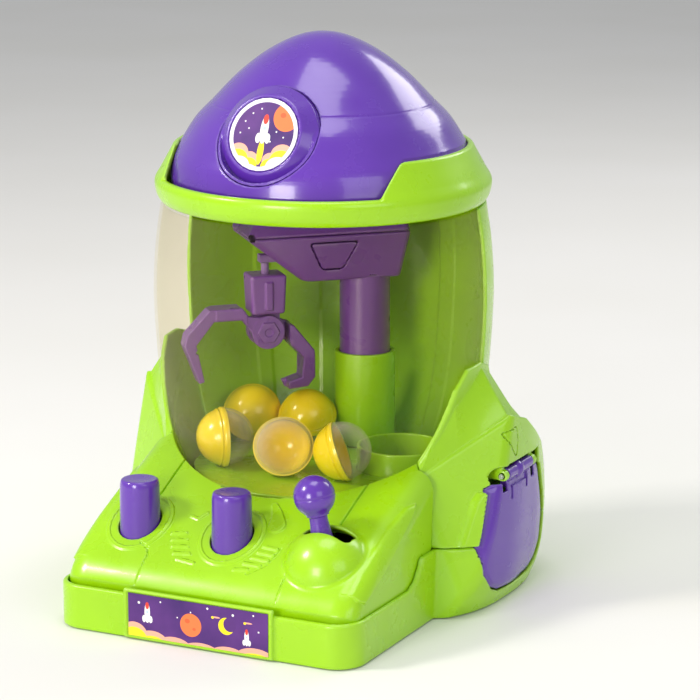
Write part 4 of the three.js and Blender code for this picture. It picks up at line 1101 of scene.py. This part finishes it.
def painted(tree, base, layers):
    for mask, colour in layers:
        base = mixed(tree, mask, base, colour)
    return base


def night(tree, place_noise):
    return mixed(tree, place_noise, (0.055, 0.018, 0.14), (0.12, 0.035, 0.22))


WHITE, ORANGE, SUN, PEACH = (0.85, 0.85, 0.82), (0.9, 0.2, 0.06), (0.95, 0.75, 0.02), (0.9, 0.42, 0.3)
SKY_BLUE, RED, CRATER = (0.45, 0.62, 0.85), (0.7, 0.06, 0.04), (0.7, 0.12, 0.04)


def rocket(tree, at, u, v, s):
    return [
        (blob(tree, at, u - 2.6 * s, v - 4.6 * s, 1.5 * s, 2.6 * s), WHITE),
        (blob(tree, at, u + 2.6 * s, v - 4.6 * s, 1.5 * s, 2.6 * s), WHITE),
        (blob(tree, at, u, v, 2.2 * s, 7.4 * s), WHITE),
        (blob(tree, at, u, v + 5.2 * s, 1.45 * s, 2.6 * s), RED),
        (blob(tree, at, u, v + 0.6 * s, 0.9 * s, 0.9 * s), SKY_BLUE),
    ]


# The radius that the badge's art is laid out for, and where its pale rim starts
BADGE_ART_R, RIM_R = 21.7, 19.2


def badge_art():
    up = (0, math.sin(BADGE_TILT), math.cos(BADGE_TILT))
    material, tree, shader, at = art("badge_print", (1, 0, 0), up, BADGE, BADGE_ART_R / STICKER_R)
    place = node(tree, "ShaderNodeTexCoord")
    stars = [(-13, 7), (-9, 12), (-15, 0), (8, 2), (13, -1), (-4, 15), (5, -4), (-10, 3)]
    layers = [(blob(tree, at, u, v, 0.5, 0.5), WHITE) for u, v in stars]
    layers.append((blob(tree, at, 13, 11, 8.5, 8.5), ORANGE))
    layers.append((blob(tree, at, 10.5, 12, 1.8, 1.5), CRATER))
    clouds = [(-14, -12, 6.5, 6), (14, -11, 7, 6), (-6, -15, 5, 4.5), (7, -15, 5, 4.5)]
    layers += [(blob(tree, at, *c), PEACH) for c in clouds]
    layers += [(blob(tree, at, u, v - 3.6, a * 1.05, b), SUN) for u, v, a, b in clouds]
    layers.append((blob(tree, at, 0, -10.5, 2.0, 7.5), SUN))
    layers += [(blob(tree, at, u * 0.9, v - 7.6, a * 1.1, b), WHITE) for u, v, a, b in clouds]
    layers += rocket(tree, at, 0, 3, 1.15)
    base = painted(tree, night(tree, spread(tree, noise(tree, place, 60, 3), 0, 1)), layers)
    r = sums(tree, "ADD", sums(tree, "MULTIPLY", at[0], at[0]), sums(tree, "MULTIPLY", at[1], at[1]))
    rim = sums(tree, "GREATER_THAN", r, RIM_R**2)
    tree.links.new(mixed(tree, rim, base, (0.82, 0.8, 0.84)), shader.inputs["Base Color"])
    return material


def front_art():
    material, tree, shader, at = art("front_print", (1, 0, 0), (0, 0, 1), (0, 0, 13.6))
    place = node(tree, "ShaderNodeTexCoord")
    stars = [(-35, 7, 0.7), (-22, 9, 0.5), (-4, 6, 0.4), (6, 9.5, 0.6), (21, 8, 0.7)]
    stars += [(33, 9.5, 0.5), (36, 1, 0.5), (28, -2, 0.4), (-12, 2, 0.4)]
    layers = [(blob(tree, at, u, v, s, s), WHITE) for u, v, s in stars]
    for u, v in ((11, 5.5), (30, 5)):
        layers.append((blob(tree, at, u, v, 2.4, 0.45), PEACH))
        layers.append((blob(tree, at, u - 2, v - 0.3, 0.8, 0.7), SUN))
    layers.append((blob(tree, at, -4, -1, 6.3, 6.3), ORANGE))
    layers.append((blob(tree, at, -6, 1, 1.5, 1.2), CRATER))
    layers.append((blob(tree, at, -2, -3, 1.0, 0.8), CRATER))
    layers.append((blob(tree, at, 17, 1.5, 4.6, 4.6), SUN))
    layers.append((blob(tree, at, 19.2, 2.6, 3.8, 3.9), (0.1, 0.03, 0.19)))
    hills = [(-38, -11, 8, 7), (-27, -13, 9, 5.5), (-14, -14, 10, 5)]
    hills += [(2, -14.5, 11, 4.6), (18, -14, 10, 4.4), (34, -13, 11, 5)]
    layers += [(blob(tree, at, *h), PEACH) for h in hills]
    layers += [(blob(tree, at, u, v - 2.8, a, b), SUN) for u, v, a, b in hills]
    layers += rocket(tree, at, -30, 2, 0.75)
    layers += rocket(tree, at, 29, -3, 0.6)
    base = painted(tree, night(tree, spread(tree, noise(tree, place, 40, 3), 0, 1)), layers)
    tree.links.new(base, shader.inputs["Base Color"])
    return material


# Putting the pieces together
def left_wing(p):
    return wing(p * np.array([-1, 1, 1]))


# Piece, its field, the corners of the space it is grown in, material, body, CAD node, cell and share kept
HOUSING_PIECES = [
    ("base_shell", lower_base, (-116, -147, 0), (116, 102, 38), GREEN, "lower_base", CELL, 0.5),
    ("deck_shell", control_deck, (-89, -146, 20.5), (89, -37, 85), GREEN, "control_deck", 0.7, 0.6),
    ("left_wing_shell", left_wing, (-116, -68, 38), (-40, 61, 133), GREEN, "left_wing", 0.8, 0.5),
    ("right_wing_shell", right_wing, (40, -68, 38), (116, 61, 133), GREEN, "right_wing", 0.8, 0.5),
    ("rear_wall", rear_shell, (-115, -14, 38), (115, 101, 214), GREEN, "rear_shell", 1.1, 0.5),
]
ROOF_PIECES = [
    ("roof_ring_shell", roof_ring, (-92, -92, 214), (92, 92, 247), GREEN, "roof_ring", CELL, 0.5),
    ("roof_cap_shell", roof_cap, (-85, -85, 217), (85, 85, 306), PURPLE, "roof_cap", CELL, 0.5),
    ("badge_ring", badge_boss, (-30, -92, 222), (30, -34, 288), PURPLE, "badge_boss", 0.7, 0.5),
    ("pit_deck", pit_floor, (-73, -73, 61), (73, 73, 66), GREEN, "pit_floor", 1.0, 0.5),
]


def make_grown(pieces, body_name):
    for name, field, low, high, material, cad_node, cell, keep in pieces:
        place(grown(name, field, low, high, cell, keep), material, body_name, cad_node)


def make_housing():
    make_grown(HOUSING_PIECES, "housing")
    place(window_pane(), WINDOW, "housing", "window", slot="window_plastic")
    make_grown(ROOF_PIECES, "housing")


def make_turned_pieces():
    sleeve = tube_profile(SLEEVE_R, COLUMN_R + 0.4, FLOOR_Z + 0.3, SLEEVE_TOP)
    place(lathe_piece("column_collar", sleeve, 0.9, (0, COLUMN_Y)), GREEN, "housing", "column_sleeve")
    cup = tube_profile(CHUTE[2], CHUTE[2] - 2, 56.4, CHUTE[3])
    place(lathe_piece("chute_rim", cup, 0.8, CHUTE[:2]), GREEN, "housing", "chute_cup")
    pipe = [(6.8, 44), (6.8, 30.4), (20, 30.4), (20, 33), (14.3, 33.2), (14.3, 169), (12, 169), (12, 44)]
    place(lathe_piece("lift_pipe", pipe, 0.5, (0, COLUMN_Y)), DARK_PURPLE, "arm", "lift_column")
    place(push_button("lift_button_cap", LIFT_BUTTON), PURPLE, "lift_button", "lift_button")
    place(push_button("claw_button_cap", CLAW_BUTTON), PURPLE, "claw_button", "claw_button")
    pivot = millimetres(STICK_X, STICK_Y, STICK_Z)
    tilt = pivot @ Matrix.Rotation(math.radians(STICK_TILT), 4, "Y")
    upper = pivot @ Matrix.Rotation(math.radians(STICK_TILT + STICK_BEND), 4, "Y")
    ball, lever = stick_parts()
    hub = moved(hub_piece("joystick_hub", 5.5, 7), Matrix.Rotation(math.pi / 2, 4, "X"))
    place(moved(ball, upper), PURPLE, "joystick", "joystick")
    place(moved(lever, tilt), PURPLE, "joystick")
    place(moved(hub, tilt), PURPLE, "joystick")


def outer_jaw(p):
    return jaw(p, JAW_OUTER, outer_width, 3.0, 7.2, True)


def inner_jaw(p):
    return jaw(p, JAW_INNER, inner_width, -7.2, -3.0, False)


DOOR_PIECES = [("door_panel", prize_door, (90, -38, 5), (119, 60, 80), PURPLE, "prize_door", 0.7, 0.5)]
ARM_PIECES = [
    ("arm_hull", arm_shell, (-62, -10, 162), (30, 76, 191), DARK_PURPLE, "arm_shell", 0.8, 0.5),
    ("arm_lid", arm_cover, (-62, -10, 190), (30, 76, 203), DARK_PURPLE, "arm_cover", 0.8, 0.5),
    ("claw_holder", claw_post, (-60, -5, 124), (-25, 28, 168), DARK_PURPLE, "claw_post", 0.6, 0.5),
]
CLAW_LOW, CLAW_HIGH = (-90, -40, 94), (-10, 45, 152)
OUTER_PIECES = [("outer_jaw", outer_jaw, CLAW_LOW, CLAW_HIGH, DARK_PURPLE, "jaw_outer", 0.6, 0.5)]
INNER_PIECES = [("inner_jaw", inner_jaw, CLAW_LOW, CLAW_HIGH, DARK_PURPLE, "jaw_inner", 0.6, 0.5)]


def make_moving_pieces():
    make_grown(DOOR_PIECES, "prize_door")
    make_grown(ARM_PIECES, "arm")
    make_grown(OUTER_PIECES, "jaw_outer")
    make_grown(INNER_PIECES, "jaw_inner")


CAPSULE_HALVES = (("yellow", YELLOW, "yellow_plastic"), ("clear", CAPSULE, "clear_plastic"))


def make_capsules():
    for number, (x, y, azimuth, rise, z) in enumerate(BALLS, 1):
        aim = Matrix.Rotation(math.radians(azimuth), 4, "Z")
        aim = aim @ Matrix.Rotation(math.radians(90 - rise), 4, "X")
        for half, material, slot in CAPSULE_HALVES:
            shell = capsule_half(f"capsule_{number}_{half}", half == "yellow")
            flip = Matrix.Identity(4) if half == "yellow" else Matrix.Rotation(math.pi, 4, "X")
            moved(shell, millimetres(x, y, z) @ aim @ flip)
            place(shell, material, f"ball_{number}", f"ball_{number}_{half}", slot=slot)


# CAD nodes that stay as they are: moulded ones, the two stickers, and metal or dark parts by their names
HIDDEN_FINISH = {
    "bottom_cover": GREEN,
    "exit_bin": GREEN,
    "gear_bracket": GREEN,
    "badge_sticker": badge_art(),
    "front_sticker": front_art(),
}


def finish_nodes():
    for name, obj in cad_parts.items():
        if obj.hide_render:
            continue
        material = HIDDEN_FINISH.get(name)
        if material is None:
            metal = any(word in name for word in ("pin", "spring", "screw", "rod"))
            material = STEEL if metal and name != "claw_rod" else DARK_PURPLE
        obj.data.materials.clear()
        obj.data.materials.append(material)


def camera():
    data = bpy.data.cameras.new("camera")
    data.sensor_width = 36
    data.lens = 155.8
    obj = bpy.data.objects.new("camera", data)
    obj.location = Vector((736.7, -1453.4, 515.0)) * MM
    obj.rotation_euler = (math.radians(90 - 13.32), 0, math.radians(26.37))
    bpy.context.scene.collection.objects.link(obj)
    bpy.context.scene.camera = obj


def area_light(name, place_at, target, size, power, colour=(1, 1, 1)):
    data = bpy.data.lights.new(name, "AREA")
    data.shape = "RECTANGLE"
    data.size, data.size_y = size
    data.energy = power
    data.color = colour
    obj = bpy.data.objects.new(name, data)
    obj.location = place_at
    obj.rotation_euler = (Vector(target) - Vector(place_at)).to_track_quat("-Z", "Y").to_euler()
    bpy.context.scene.collection.objects.link(obj)


def studio():
    bpy.ops.mesh.primitive_plane_add(size=12, location=(0, 0, -0.0004))
    floor = bpy.context.object
    floor.name = "studio_floor"
    material, tree, shader, place_at = start_material("pale_floor")
    mottle = spread(tree, noise(tree, place_at, 3, 2), 0, 1)
    tone = mixed(tree, mottle, (0.80, 0.78, 0.74), (0.83, 0.81, 0.78))
    tree.links.new(tone, shader.inputs["Base Color"])
    shader.inputs["Roughness"].default_value = 0.7
    floor.data.materials.append(material)
    world = bpy.data.worlds.new("studio_world")
    world.use_nodes = True
    world.node_tree.nodes["Background"].inputs["Color"].default_value = (0.93, 0.96, 1.0, 1)
    world.node_tree.nodes["Background"].inputs["Strength"].default_value = 0.5
    bpy.context.scene.world = world
    bpy.context.scene.view_settings.view_transform = "Standard"
    area_light("key", (-1.2, -1.0, 1.3), (0, 0, 0.12), (0.4, 0.4), 20, (1, 0.97, 0.92))
    area_light("fill", (1.5, -1.0, 0.9), (0, 0, 0.12), (1.0, 0.8), 5, (0.95, 0.97, 1))
    area_light("front", (-0.1, -1.9, 0.45), (0, 0, 0.14), (0.6, 0.6), 15, (1, 0.97, 0.93))
    area_light("back", (0.5, 1.3, 1.1), (0, 0, 0.2), (0.9, 0.6), 8)
    area_light("top", (0.0, -0.1, 1.5), (0, 0, 0.2), (0.7, 0.7), 6)


make_housing()
make_turned_pieces()
make_moving_pieces()
make_capsules()
finish_nodes()
camera()
studio()
